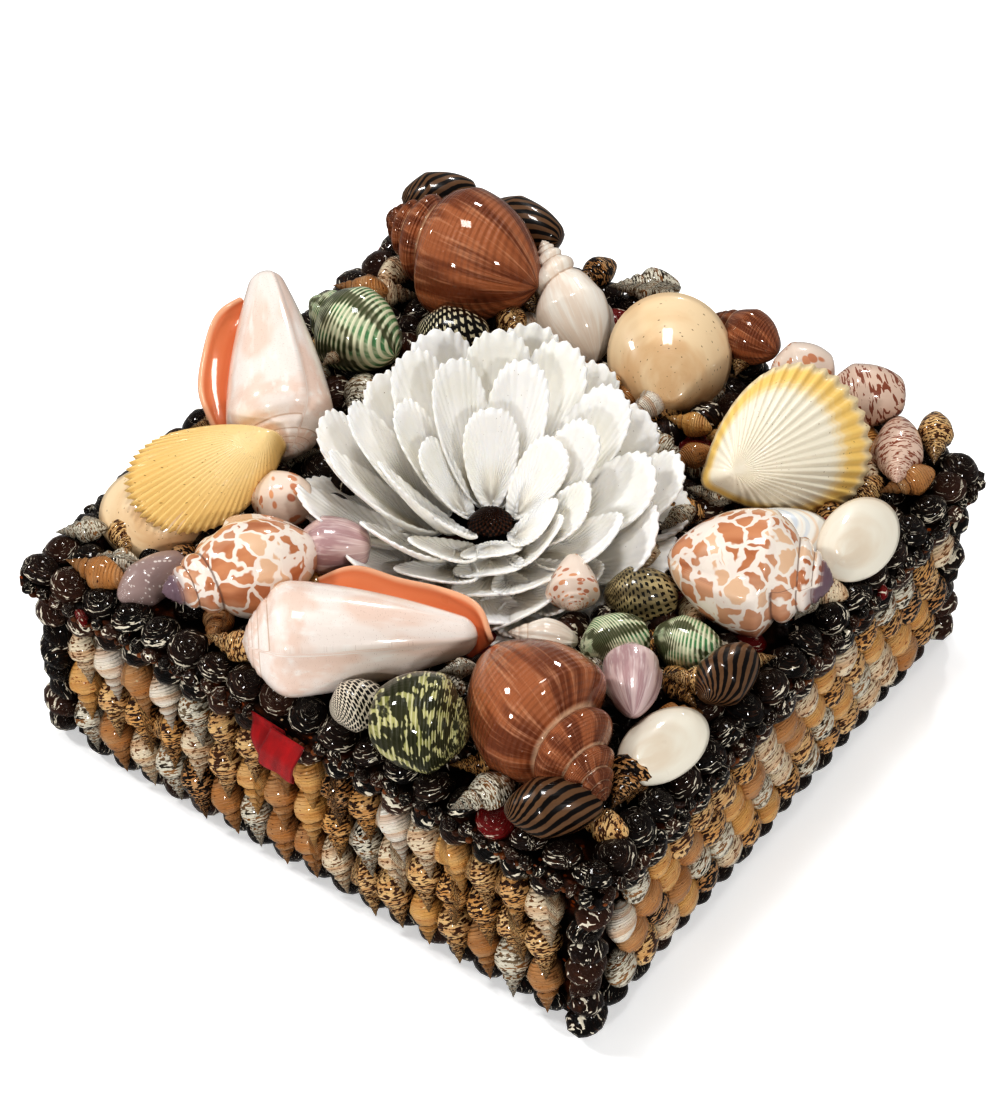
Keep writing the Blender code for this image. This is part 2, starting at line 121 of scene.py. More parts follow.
world = bpy.data.worlds.new("studio")
bpy.context.scene.world = world
world.use_nodes = True
world.node_tree.nodes["Background"].inputs["Color"].default_value = (1.0, 1.0, 1.0, 1.0)
world.node_tree.nodes["Background"].inputs["Strength"].default_value = 0.19
bpy.context.scene.view_settings.view_transform = "Standard"
bpy.context.scene.view_settings.look = "High Contrast"

select_only()
bpy.ops.mesh.primitive_plane_add(size=8.0, location=(0.0, 0.0, 0.0))
floor = bpy.context.object
floor.name = "floor"
floor_finish = bpy.data.materials.new("white floor")
floor_finish.use_nodes = True
FLOOR_LOOK = {"Base Color": (0.93, 0.93, 0.93, 1.0), "Roughness": 0.9, "Emission Color": (1.0, 1.0, 1.0, 1.0),
              "Emission Strength": 0.3}
for key, value in FLOOR_LOOK.items():
    floor_finish.node_tree.nodes["Principled BSDF"].inputs[key].default_value = value
floor.data.materials.append(floor_finish)
floor.visible_glossy = False
print("lights", len(LIGHTS))

# %% [markdown]
# ## Node tools
# A shader tree can be wired by hand, one node at a time. These helpers keep that short: one fills the
# inputs of a node, one adds a node, and one starts a node group with named sockets. A socket given as a
# value is linked, and any other value is set. A new node goes into the tree of the sockets that it gets.

# %% Node helpers
def fill(made, values):
    """Links the inputs of a node whose value is a socket, and sets the others."""
    for key, value in values.items():
        if isinstance(value, bpy.types.NodeSocket):
            made.id_data.links.new(value, made.inputs[key])
        else:
            made.inputs[key].default_value = value
    return made


def node(kind, values=None, tree=None, **settings):
    """A node of one kind with its settings and inputs, in the tree of the first socket among its values."""
    values = values or {}
    tree = tree or next(value.id_data for value in values.values() if isinstance(value, bpy.types.NodeSocket))
    made = tree.nodes.new(kind)
    for key, value in settings.items():
        setattr(made, key, value)
    return fill(made, values)


def maths(operation, a, b=0.0):
    """The result of one sum."""
    return node("ShaderNodeMath", {0: a, 1: b, 2: 0.0}, operation=operation).outputs[0]


def times(a, b):
    return maths("MULTIPLY", a, b)


def plus(a, b):
    return maths("ADD", a, b)


def minus(a, b):
    return maths("SUBTRACT", a, b)


def blend(share, first, second):
    """A colour between two."""
    return node("ShaderNodeMix", {0: share, 6: first, 7: second}, data_type="RGBA").outputs[2]


def soft_step(value, low, high):
    """0 below low and 1 above high, smooth between."""
    return node("ShaderNodeMapRange", {"Value": value, "From Min": low, "From Max": high},
                interpolation_type="SMOOTHSTEP").outputs["Result"]


DEEPEN = 1.45


def rgb(*colour):
    """A colour, deepened to the linear value that the shader takes."""
    return (*(channel ** DEEPEN for channel in colour), 1.0)


def new_group(name, values, results):
    """A node group given a vector and these values; returns what it is given and the node for its results."""
    tree = bpy.data.node_groups.new(name, "ShaderNodeTree")
    tree.interface.new_socket("Vector", in_out="INPUT", socket_type="NodeSocketVector")
    for label, value in values.items():
        tree.interface.new_socket(label, in_out="INPUT", socket_type="NodeSocketFloat").default_value = value
    for label in results:
        tree.interface.new_socket(label, in_out="OUTPUT", socket_type="NodeSocketFloat")
    given, result = tree.nodes.new("NodeGroupInput"), tree.nodes.new("NodeGroupOutput")
    return given.outputs, result


def use_group(name, vector, **values):
    """What a node group puts out, with its inputs set or linked."""
    return node("ShaderNodeGroup", {"Vector": vector, **values}, node_tree=bpy.data.node_groups[name]).outputs


print("node helpers ready")

# %% [markdown]
# ## Patterns of a shell
# A snail adds to its shell along the edge of the opening, and the colours are laid down there. So the
# patterns follow two directions: growth, round the coil, and the line across the whorl. Each piece has a
# UV map named coil that holds them: U counts the way round, V counts whole turns from the last seam.
# One group makes the seams between whorls and the fine lines of growth, and the others make stripes,
# spots, blotches and checks. All of them give masks, so each shell mixes its own colours.

# %% Pattern groups
def split(vector):
    """The first two parts of a vector."""
    parts = node("ShaderNodeSeparateXYZ", {"Vector": vector})
    return parts.outputs["X"], parts.outputs["Y"]


def joined(x, y, z=0.0):
    return node("ShaderNodeCombineXYZ", {"X": x, "Y": y, "Z": z}).outputs["Vector"]


def red_part(colour):
    return node("ShaderNodeSeparateColor", {"Color": colour}).outputs["Red"]


def vector_sum(operation, first, second):
    return node("ShaderNodeVectorMath", {0: first, 1: second}, operation=operation).outputs[0]


def noise(vector, scale, detail=3.0, distortion=0.0):
    return node("ShaderNodeTexNoise", {
        "Vector": vector, "Scale": scale, "Detail": detail, "Distortion": distortion}).outputs["Fac"]


def cloudy(x, y, z, round_scale, long_scale, detail=2.0, distortion=0.0):
    """Noise stretched by its own scale the way round and along."""
    return noise(joined(times(x, round_scale), times(y, long_scale), z), 1.0, detail, distortion)


def fade(value, low, high):
    """1 below low and 0 above high, straight between."""
    return node("ShaderNodeMapRange", {"Value": value, "From Min": high, "From Max": low}).outputs["Result"]


def wander(vector, scale, reach):
    """A vector moved about by noise, by reach over the scale."""
    warp = node("ShaderNodeTexNoise", {"Vector": vector, "Scale": scale}).outputs["Color"]
    moved = vector_sum("SUBTRACT", warp, (0.5, 0.5, 0.5))
    moved = node("ShaderNodeVectorMath", {0: moved, "Scale": maths("DIVIDE", reach, scale)}, operation="SCALE")
    return vector_sum("ADD", moved.outputs[0], vector)


# Growth: seams between the whorls, and fine lines across the way of growth
given, result = new_group("growth", {"Lines": 60.0}, ("Seam", "Across", "Lines", "Streaks"))
x, y = split(given["Vector"])
across = maths("FRACT", y)
ends = maths("ABSOLUTE", minus(across, 0.5))
before = soft_step(times(y, -1.0), -0.09, -0.05)
fill(result, {"Seam": times(soft_step(ends, 0.42, 0.5), before), "Across": across})
along = times(x, given["Lines"])
fill(result, {"Lines": noise(joined(along, times(y, 1.3)), 1.0, 4.0),
              "Streaks": noise(joined(times(along, 0.16), times(y, 0.5)), 1.0)})

# Stripes: bands at even steps of one value, with wobbling edges
given, result = new_group(
    "stripes", {"Value": 0.0, "Count": 10.0, "Width": 0.5, "Wobble": 0.3, "Grain": 6.0}, ("Mask",))
shake = minus(noise(given["Vector"], given["Grain"]), 0.5)
place = plus(times(given["Value"], given["Count"]), times(shake, times(given["Wobble"], 4.0)))
wave = times(maths("ABSOLUTE", minus(maths("FRACT", place), 0.5)), 2.0)
fill(result, {"Mask": fade(wave, minus(given["Width"], 0.08), plus(given["Width"], 0.08))})

# Spots: round cells, some left out
given, result = new_group("spots", {"Scale": 10.0, "Size": 0.3}, ("Mask", "Pick"))
cells = node("ShaderNodeTexVoronoi", {"Vector": given["Vector"], "Scale": given["Scale"]}).outputs
bigger = plus(given["Size"], 0.07)
fill(result, {"Mask": fade(cells["Distance"], given["Size"], bigger), "Pick": red_part(cells["Color"])})

# Net: thin lines between wandering cells
given, result = new_group("net", {"Scale": 6.0, "Line": 0.05}, ("Mask", "Pick"))
cell_values = {"Vector": wander(given["Vector"], given["Scale"], 1.3), "Scale": given["Scale"]}
borders = node("ShaderNodeTexVoronoi", cell_values, feature="DISTANCE_TO_EDGE").outputs["Distance"]
cells = node("ShaderNodeTexVoronoi", cell_values).outputs
wide = times(given["Line"], 1.8)
fill(result, {"Mask": soft_step(times(borders, -1.0), times(wide, -1.0), times(given["Line"], -1.0)),
              "Pick": red_part(cells["Color"])})

# Blotches: patches with wandering borders
given, result = new_group("blotches", {"Scale": 6.0, "Cover": 0.5}, ("Mask",))
patches = noise(wander(given["Vector"], given["Scale"], 0.3), given["Scale"], 1.5, 0.6)
fill(result, {"Mask": soft_step(minus(patches, minus(1.0, given["Cover"])), -0.008, 0.008)})

# Checks: squares in rows that wander
given, result = new_group("checks", {"Round": 20.0, "Rows": 4.0, "Cover": 0.5}, ("Mask",))
x, y = split(given["Vector"])
row = times(y, given["Rows"])
shift = times(maths("FLOOR", row), 0.37)
shake = noise(given["Vector"], 14.0)
column = plus(times(x, given["Round"]), plus(shift, shake))
a, b = (maths("ABSOLUTE", minus(maths("FRACT", value), 0.5)) for value in (column, row))
square = maths("MAXIMUM", a, times(b, 0.9))
fill(result, {"Mask": soft_step(minus(times(given["Cover"], 0.5), square), -0.03, 0.03)})

# Varnish: slow waves and dust in the gloss, at their real size
given, result = new_group("varnish", {"Rough": 0.25}, ("Roughness", "Height"))
slow = noise(given["Vector"], 260.0, 2.0)
dust = noise(given["Vector"], 1500.0, 2.0)
fill(result, {"Roughness": plus(given["Rough"], times(slow, 0.18)),
              "Height": plus(times(slow, 0.7), times(dust, 0.12))})
print("pattern groups", sorted(g.name for g in bpy.data.node_groups))

# %% [markdown]
# ## Finishes
# Every shell has a clear varnish: the Principled shader's coat, with a low roughness of its own. Under it
# lies the shell's colour. A finish is made by a small recipe and says how thick its varnish is. The recipe
# gets the coil coordinates, the tone of the single shell, and a seed that moves the pattern with the tone.
# It gives back a colour and a height, which goes through a Bump node.

# %% Shell finish
def object_place(socket):
    """The place on the piece, in metres, for the tree of a socket."""
    return node("ShaderNodeTexCoord", tree=socket.id_data).outputs["Object"]


def shell_finish(name, recipe, rough=0.22, coat=1.0, relief=0.35, depth=0.0004):
    """A varnished shell material from a recipe(coil, tone, seed) that returns colour and height."""
    material = bpy.data.materials.new(name)
    material.use_nodes = True
    tree = material.node_tree
    coil = node("ShaderNodeUVMap", tree=tree, uv_map="coil").outputs["UV"]
    tone = node("ShaderNodeAttribute", tree=tree, attribute_name="tone").outputs["Fac"]
    seed = vector_sum("ADD", coil, joined(0.0, 0.0, times(tone, 37.0)))
    colour, height = recipe(coil, tone, seed)
    varnish = use_group("varnish", object_place(coil), Rough=rough)
    total = plus(height, times(varnish["Height"], 0.25))
    bump = node("ShaderNodeBump", {"Strength": relief, "Distance": depth, "Height": total})
    fill(tree.nodes["Principled BSDF"], {
        "Base Color": colour, "Roughness": varnish["Roughness"], "Normal": bump.outputs["Normal"],
        "Specular IOR Level": 0.2, "Coat Weight": coat, "Coat Roughness": 0.05, "Coat IOR": 1.35})
    return material


def grown(coil, lines):
    """The growth group with its line count."""
    return use_group("growth", coil, Lines=lines)


def streaked(coil, seed, pale, middle, deep, seam, lines=70.0):
    """A shell streaked by growth between three colours, with its own colour along the seams."""
    growth = grown(seed, lines)
    colour = blend(soft_step(growth["Streaks"], 0.42, 0.56), rgb(*middle), rgb(*deep))
    colour = blend(times(soft_step(growth["Lines"], 0.5, 0.72), 0.6), colour, rgb(*pale))
    seams = grown(coil, lines)["Seam"]
    colour = blend(times(seams, 0.75), colour, rgb(*seam))
    return colour, growth["Lines"]


def whelk_brown(coil, tone, seed):
    colour, height = streaked(coil, seed, (0.76, 0.48, 0.33), (0.54, 0.27, 0.15), (0.34, 0.15, 0.08),
                              (0.86, 0.66, 0.5), 95.0)
    x, y = split(coil)
    cords = maths("SINE", times(y, 75.0))
    height = plus(height, times(cords, 0.25))
    return colour, height


def plain_white(coil, tone, seed):
    return streaked(coil, seed, (0.95, 0.92, 0.87), (0.92, 0.87, 0.8), (0.87, 0.78, 0.69), (0.66, 0.5, 0.38))


def conch_white(coil, tone, seed):
    colour, height = streaked(coil, seed, (0.95, 0.92, 0.88), (0.92, 0.85, 0.8), (0.88, 0.74, 0.66),
                              (0.66, 0.48, 0.36), 30.0)
    dots = use_group("spots", seed, Scale=60.0, Size=0.09)["Mask"]
    return blend(times(dots, 0.6), colour, rgb(0.33, 0.2, 0.13)), height


def babylon_blotched(coil, tone, seed):
    growth = grown(coil, 60.0)
    place = object_place(coil)
    net = use_group("net", place, Scale=165.0, Line=0.07)
    worn = soft_step(noise(place, 70.0, 2.0), 0.5, 0.62)
    brown = blend(soft_step(growth["Streaks"], 0.35, 0.65), rgb(0.75, 0.45, 0.29), rgb(0.6, 0.31, 0.18))
    brown = blend(soft_step(net["Pick"], 0.8, 0.86), brown, rgb(0.86, 0.66, 0.5))
    brown = blend(times(worn, 0.25), brown, rgb(0.87, 0.74, 0.62))
    colour = blend(times(net["Mask"], 0.9), brown, rgb(0.95, 0.9, 0.84))
    colour = blend(times(growth["Seam"], 0.8), colour, rgb(0.3, 0.19, 0.15))
    x, y = split(coil)
    top = soft_step(times(y, -1.0), 1.2, 2.6)
    return blend(top, colour, rgb(0.33, 0.25, 0.28)), growth["Lines"]


def turban_green(coil, tone, seed):
    growth = grown(coil, 80.0)
    x, y = split(seed)
    z = times(tone, 37.0)
    cords = maths("SINE", times(y, 55.0))
    bars = cloudy(x, y, z, 8.0, 0.7)
    base = blend(soft_step(cords, -0.5, 0.5), rgb(0.22, 0.42, 0.24), rgb(0.85, 0.85, 0.68))
    base = blend(times(soft_step(growth["Streaks"], 0.45, 0.6), 0.6), base,
                 rgb(0.84, 0.82, 0.66))
    dark = soft_step(plus(bars, times(cords, -0.035)), 0.47, 0.55)
    colour = blend(times(dark, 0.85), base, rgb(0.13, 0.13, 0.05))
    return colour, plus(growth["Lines"], cords)


def turban_olive(coil, tone, seed):
    growth = grown(coil, 90.0)
    x, y = split(seed)
    z = times(tone, 37.0)
    cords = maths("SINE", times(y, 48.0))
    bars = cloudy(x, y, z, 21.0, 4.5)
    base = blend(soft_step(growth["Streaks"], 0.4, 0.6), rgb(0.62, 0.6, 0.34), rgb(0.36, 0.36, 0.15))
    base = blend(times(soft_step(cords, 0.0, 0.8), 0.6), base, rgb(0.84, 0.8, 0.6))
    dark = soft_step(plus(bars, times(cords, -0.03)), 0.44, 0.5)
    colour = blend(times(dark, 0.92), base, rgb(0.05, 0.055, 0.025))
    return colour, plus(growth["Lines"], cords)


def zebra_striped(coil, tone, seed):
    x, y = split(coil)
    lean = plus(x, times(y, 0.12))
    lines = use_group("stripes", seed, Value=lean, Count=15.0, Width=0.52, Wobble=0.1, Grain=2.5)["Mask"]
    growth = grown(seed, 110.0)
    tan = blend(growth["Streaks"], rgb(0.36, 0.24, 0.15), rgb(0.21, 0.13, 0.08))
    return blend(lines, rgb(0.03, 0.018, 0.014), tan), growth["Lines"]


def check_dark(coil, tone, seed):
    squares = use_group("checks", seed, Round=17.0, Rows=5.5, Cover=0.5)["Mask"]
    growth = grown(coil, 90.0)
    return blend(squares, rgb(0.035, 0.028, 0.02), rgb(0.75, 0.7, 0.55)), growth["Lines"]


def check_pale(coil, tone, seed):
    squares = use_group("checks", seed, Round=17.0, Rows=6.0, Cover=0.66)["Mask"]
    growth = grown(coil, 60.0)
    return blend(squares, rgb(0.8, 0.74, 0.64), rgb(0.04, 0.03, 0.03)), growth["Lines"]


def olive_checked(coil, tone, seed):
    squares = use_group("checks", seed, Round=22.0, Rows=6.0, Cover=0.5)["Mask"]
    growth = grown(coil, 90.0)
    base = blend(soft_step(growth["Streaks"], 0.4, 0.6), rgb(0.62, 0.54, 0.36), rgb(0.34, 0.29, 0.19))
    return blend(squares, base, rgb(0.05, 0.045, 0.035)), growth["Lines"]


def moon_spotted(coil, tone, seed):
    wide = vector_sum("MULTIPLY", seed, (3.0, 0.6, 1.0))
    spots = use_group("spots", wide, Scale=3.7, Size=0.3)
    growth = grown(coil, 60.0)
    tint = blend(spots["Pick"], rgb(0.55, 0.2, 0.1), rgb(0.8, 0.46, 0.26))
    return blend(times(spots["Mask"], 0.85), rgb(0.86, 0.76, 0.68), tint), growth["Lines"]


def mauve_streaked(coil, tone, seed):
    return streaked(coil, seed, (0.9, 0.84, 0.82), (0.77, 0.64, 0.62), (0.6, 0.45, 0.45), (0.5, 0.36, 0.33))


def lilac_dotted(coil, tone, seed):
    wide = vector_sum("MULTIPLY", seed, (3.2, 0.8, 1.0))
    dots = use_group("spots", wide, Scale=7.0, Size=0.2)["Mask"]
    growth = grown(coil, 40.0)
    base = blend(growth["Streaks"], rgb(0.56, 0.46, 0.43), rgb(0.41, 0.32, 0.31))
    return blend(times(dots, 0.8), base, rgb(0.86, 0.8, 0.76)), growth["Lines"]


def pink_mottled(coil, tone, seed):
    wide = vector_sum("MULTIPLY", seed, (3.2, 2.4, 1.0))
    marks = use_group("blotches", wide, Scale=4.5, Cover=0.45)
    growth = grown(coil, 60.0)
    colour = blend(marks["Mask"], rgb(0.8, 0.66, 0.57), rgb(0.42, 0.2, 0.14))
    return colour, growth["Lines"]


FINISH = {
    "whelk": shell_finish("red-brown whelk", whelk_brown, relief=0.9, depth=0.0005),
    "white": shell_finish("white snail", plain_white),
    "conch": shell_finish("white-pink conch", conch_white, relief=0.2),
    "babylon": shell_finish("blotched babylon", babylon_blotched, relief=0.15),
    "green": shell_finish("green turban", turban_green),
    "olive": shell_finish("olive turban", turban_olive),
    "zebra": shell_finish("striped nerite", zebra_striped, relief=0.15),
    "check_dark": shell_finish("black chequered nerite", check_dark, relief=0.15),
    "check_pale": shell_finish("white chequered top", check_pale, relief=0.25),
    "olive_check": shell_finish("olive nerite", olive_checked, relief=0.15),
    "spotted": shell_finish("spotted moon", moon_spotted, relief=0.15),
    "mauve": shell_finish("mauve snail", mauve_streaked, relief=0.25),
    "lilac": shell_finish("lilac cowrie", lilac_dotted, relief=0.1),
    "pink": shell_finish("pink mottled snail", pink_mottled, relief=0.25),
}
print("finishes", len(FINISH))

# %% [markdown]
# ## How a coiled shell is made
# A snail's shell is a tube on a spiral, and extruding a ring step by step would give one. On these
# shells only the outside shows, and that can be had more evenly: a flat grid is rolled round an axis and
# its points are set at the radius of the shell there. The outline along the axis gives the whole form,
# and a bulge between two turns of the spiral gives the whorls. Each turn is larger than the one before by
# the same factor, which is what makes a shell look like one. After that the grid's edges are merged.

# %% Grid pieces
def grid_piece(name, columns, rows, shape):
    """A grid whose corners go to shape(u, v), with its UV map named coil."""
    select_only()
    bpy.ops.mesh.primitive_grid_add(x_subdivisions=columns, y_subdivisions=rows, size=2.0, calc_uvs=True)
    piece = bpy.context.object
    piece.name = name
    mesh = piece.data
    mesh.name = name
    flat = np.empty(len(mesh.vertices) * 3)
    mesh.vertices.foreach_get("co", flat)
    u, v = (flat.reshape(-1, 3)[:, :2].T + 1.0) / 2.0
    mesh.vertices.foreach_set("co", np.stack(shape(u, v), axis=1).ravel())
    mesh.uv_layers[0].name = "coil"
    mesh.update()
    return piece


def merge_and_face_out(piece, reach=0.01):
    """Merges points that meet, within reach in millimetres, and turns the faces out."""
    select_only(piece)
    bpy.ops.object.mode_set(mode="EDIT")
    bpy.ops.mesh.select_all(action="SELECT")
    bpy.ops.mesh.remove_doubles(threshold=reach)
    bpy.ops.mesh.normals_make_consistent(inside=False)
    bpy.ops.object.mode_set(mode="OBJECT")
    bpy.ops.object.shade_smooth()


def change(piece, kind, **settings):
    """Gives a piece a modifier of one kind and applies it."""
    select_only(piece)
    made = piece.modifiers.new("change", kind)
    for key, value in settings.items():
        setattr(made, key, value)
    bpy.ops.object.modifier_apply(modifier=made.name)


def set_coil(piece, turn):
    """Writes turn(u, v) into the coil map: the way round, and the turns from the last seam."""
    layer = piece.data.uv_layers["coil"]
    flat = np.empty(len(piece.data.loops) * 2, dtype=np.float32)
    layer.uv.foreach_get("vector", flat)
    u, v = flat.reshape(-1, 2).T.astype(float)
    layer.uv.foreach_set("vector", np.stack(turn(u, v), axis=1).ravel().astype(np.float32))


def set_tone(piece, value):
    """The tone of one shell, 0 to 1, read by its finish."""
    layer = piece.data.attributes.get("tone") or piece.data.attributes.new("tone", "FLOAT", "POINT")
    layer.data.foreach_set("value", np.full(len(piece.data.vertices), value, dtype=np.float32))


def ramp(value, low, high):
    """0 below low and 1 above high, smooth between."""
    share = np.clip((value - low) / (high - low), 0.0, 1.0)
    return share * share * (3.0 - 2.0 * share)


LIP_AT = 0.97


def snail(name, length, girth, shoulder=0.4, seam=None, ratio=1.75, swell=0.16, lip=0.12, blunt=0.15,
          spire_power=0.8, body_power=2.4, press=1.0, soft=0.0, ribs=0, rib=0.0, columns=48, rows=56):
    """A coiled shell round the X axis, apex at -X, in millimetres."""
    seam = shoulder * 0.86 if seam is None else seam

    def along(v):
        return 0.55 * np.sin(np.pi * v / 2) ** 2 + 0.45 * v ** 1.45

    def turns(u, v):
        way = np.minimum(u / LIP_AT, 1.0) * (u < 0.9999)
        t = np.maximum(along(v), 1e-4)
        return way, np.log(t / seam) / math.log(ratio) - way + 1.0

    def body(t, start):
        return 1 - (1 - blunt) * np.clip((t - start) / (1 - start), 0.0, 1.0) ** body_power

    def shape(u, v):
        t = along(v)
        way, turn = turns(u, v)
        spire = (t / shoulder) ** spire_power
        if soft:
            size = -soft * np.log(np.exp(-spire / soft) + np.exp(-body(t, 0.4 * shoulder) / soft))
        else:
            size = np.where(t < shoulder, spire, body(t, shoulder))
        size = size * np.sqrt(np.clip(1 - (np.clip(t - 0.94, 0, 1) / 0.06) ** 2, 0, 1))
        size = size * np.sqrt(np.clip(t / 0.02, 0, 1))
        part = np.where(turn < 0, turn - np.floor(turn), np.minimum(turn, 0.5))
        size = size * (1 + swell * (np.sin(np.pi * part) ** 0.75 - 0.75))
        size = size * (1 + lip * (way - 0.6) * ramp(turn, 0.0, 0.4))
        if ribs:
            size = size * (1 + rib * np.cos(2 * np.pi * ribs * way))
        angle = 2 * np.pi * u
        radius = girth / 2 * size
        return (t - 0.5) * length, radius * np.cos(angle), press * radius * np.sin(angle)

    piece = grid_piece(name, columns, rows, shape)
    set_coil(piece, turns)
    merge_and_face_out(piece)
    return piece


print("a shell's coil starts at", LIP_AT, "of the way round")

# %% [markdown]
# ## Setting a shell on the lid
# A shell is turned round its own axis, tilted, turned to its heading, and then moved so that the middle
# of its box is over its place and its lowest point at its height over the lid. The solids were set in the
# same steps, so each shell lies where its solid does. A few are turned a little further or are slimmer.

# %% Stand
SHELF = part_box("lid_board")[1].z + 0.3 * MM


def bake(piece, matrix):
    """Moves the mesh itself, so the object stays at the origin."""
    piece.data.transform(matrix)
    piece.data.update()


def extent(piece):
    flat = np.empty(len(piece.data.vertices) * 3)
    piece.data.vertices.foreach_get("co", flat)
    points = flat.reshape(-1, 3)
    return points.min(axis=0), points.max(axis=0)


def stand(piece, at, lift=0.0, heading=0.0, pitch=0.0, roll=0.0):
    """Turns a shell made in millimetres and sets it over at, lift above the lid."""
    turn = Euler((math.radians(roll), -math.radians(pitch), math.radians(heading)), "XYZ").to_matrix().to_4x4()
    bake(piece, turn @ Matrix.Scale(MM, 4))
    low, high = extent(piece)
    bake(piece, Matrix.Translation((at[0] * MM - (low[0] + high[0]) / 2, at[1] * MM - (low[1] + high[1]) / 2,
                                    SHELF + lift * MM - low[2])))
    return piece


def assign(piece, finish, slot, *nodes):
    """Finish, body and the nodes that a piece stands for. The slot is not used."""
    piece.data.materials.clear()
    piece.data.materials.append(FINISH[finish])
    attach(piece, "root")
    if nodes:
        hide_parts(*nodes)
    return piece


def dress(piece, finish, slot, *nodes, tone=0.5):
    """As assign, with one tone for the whole piece."""
    set_tone(piece, tone)
    return assign(piece, finish, slot, *nodes)


print("the lid's top is at", round(SHELF / MM, 1), "mm")

# %% [markdown]
# ## The large snails
# Each kind has its own proportions: a whelk has a stepped spire and a wide body, a turban is nearly as
# wide as it is long, a nerite has almost no spire, a cone starts at its widest. The table gives the
# place, heading, length and girth of each, and how it coils.

# %% Large snails
ROUND = {"shoulder": 0.34, "seam": 0.2, "ratio": 2.3, "swell": 0.08, "blunt": 0.42, "spire_power": 0.55,
         "body_power": 2.8, "columns": 36, "rows": 36}
CONCH = {"shoulder": 0.17, "seam": 0.12, "ratio": 1.6, "swell": 0.1, "lip": 0.08, "body_power": 1.75, "blunt": 0.24,
         "spire_power": 0.62, "press": 0.95, "soft": 0.09, "columns": 64, "rows": 64}
WHELK = {"ratio": 1.8, "swell": 0.36, "lip": 0.16, "spire_power": 0.72, "columns": 72, "rows": 90}
TURBAN = {"ratio": 1.8, "swell": 0.22}
BABYLON = {"ratio": 1.7, "swell": 0.2, "spire_power": 0.66, "columns": 56, "rows": 64}

SNAILS = [
    # node, finish, slot, at, length, girth, coil, place
    ("front_conch", "conch", "pale", (1, -67), 58, 31, CONCH, dict(heading=38, roll=150)),
    ("front_babylon", "babylon", "mottled", (-36, -63), 42, 25, dict(BABYLON, shoulder=0.5),
     dict(heading=58, roll=40)),
    ("olive_turban", "olive", "green", (30.5, -79.5), 25, 24, dict(ROUND, swell=0.16, ratio=1.9),
     dict(heading=205, lift=4.5, roll=-130)),
    ("front_whelk", "whelk", "brown", (56, -61.5), 52, 32.5, dict(WHELK, shoulder=0.5, seam=0.44),
     dict(heading=158, pitch=4, roll=190)),
    ("front_zebra", "zebra", "striped", (70, -79), 24, 15, ROUND, dict(heading=45, lift=4)),
    ("check_top", "check_pale", "chequered", (12, -80.5), 14, 13, ROUND, dict(heading=60, lift=4.5)),
    ("lilac_cowrie", "lilac", "mottled", (-58, -74), 21, 12, dict(ROUND, seam=0.05), dict(heading=78)),
    ("spotted_moon", "spotted", "mottled", (-45, -36), 16, 15.5, ROUND, dict(heading=36, lift=3)),
    ("mauve_moon", "mauve", "mottled", (-24, -42), 19, 15.5, ROUND, dict(heading=32, lift=4)),
    ("teardrop_cone", "mauve", "pale", (62.5, -36.5), 27, 14, dict(shoulder=0.3), dict(heading=-55, lift=5, pitch=8)),
    ("green_turban", "green", "green", (49, -24), 18, 15, ROUND, dict(heading=60)),
    ("striped_turban", "green", "green", (64, -14), 18, 14, ROUND, dict(heading=10)),
    ("right_zebra", "zebra", "striped", (79, -20), 20, 14, ROUND, dict(heading=86, lift=4)),
    ("ribbed_cone", "white", "white", (33, -31), 18, 10, dict(shoulder=0.5, ribs=12, rib=0.05), dict(heading=25)),
    ("olive_nerite", "olive_check", "chequered", (46, -7), 19, 15, ROUND, dict(heading=36)),
    ("right_babylon", "babylon", "mottled", (67, 9), 42, 31, dict(BABYLON, shoulder=0.4), dict(heading=204, roll=30)),
    ("left_conch", "conch", "pale", (-71, -5), 55, 30, CONCH, dict(heading=133, roll=120, pitch=18)),
    ("left_turban", "green", "green", (-69, 25), 32, 23, dict(TURBAN, shoulder=0.45), dict(heading=-8)),
    ("yellow_flecked_nerite", "check_dark", "chequered", (-46, 39), 20, 16, ROUND, dict(heading=28, lift=3)),
    ("back_whelk", "whelk", "brown", (-60, 61), 50, 33, dict(WHELK, shoulder=0.46, seam=0.4),
     dict(heading=0, roll=-105)),
    ("white_whelk", "white", "pale", (-27, 64), 38, 19, dict(WHELK, shoulder=0.55, seam=0.5),
     dict(heading=-30, lift=2, pitch=-24)),
    ("corner_zebra", "zebra", "striped", (-80, 80), 21, 14, ROUND, dict(heading=42, lift=7)),
    ("back_zebra", "zebra", "striped", (-55, 84), 24, 14, ROUND, dict(heading=0, lift=7)),
    ("brown_cone", "whelk", "brown", (17, 84), 22, 15, dict(shoulder=0.5), dict(heading=-8, lift=5)),
    ("cream_moon", "spotted", "pale", (37, 81.5), 17, 16, ROUND, dict(heading=38, lift=4)),
    ("pink_turban", "pink", "mottled", (56, 82.3), 21, 17, ROUND, dict(heading=36, lift=5)),
    ("pink_cone", "pink", "mottled", (71, 73), 24, 13, dict(shoulder=0.4), dict(heading=120, lift=3)),
]

for index, (label, finish, slot, at, length, girth, coil, place) in enumerate(SNAILS):
    made = stand(snail(label + "_shell", length, girth, **coil), at, **place)
    dress(made, finish, slot + "_shell", label, tone=(index * 0.37) % 1.0)
cone = stand(snail("spotted_cone", 17, 13, shoulder=0.3, body_power=1.7, blunt=0.25), (33, -18), 6, 125, 6)
dress(cone, "spotted", "mottled_shell", tone=0.7)
print("large snails", len(SNAILS), "and a cone over the front petals")

# %% [markdown]
# ## Half shells
# A clam, cockle or scallop is one half of a pair: a dome that starts at the beak by the hinge and fans
# out to the rim, some with ribs that run from the beak and notch the rim. The grid is laid out in rings
# round the beak, raised to the dome, and then given its thickness with a Solidify modifier.

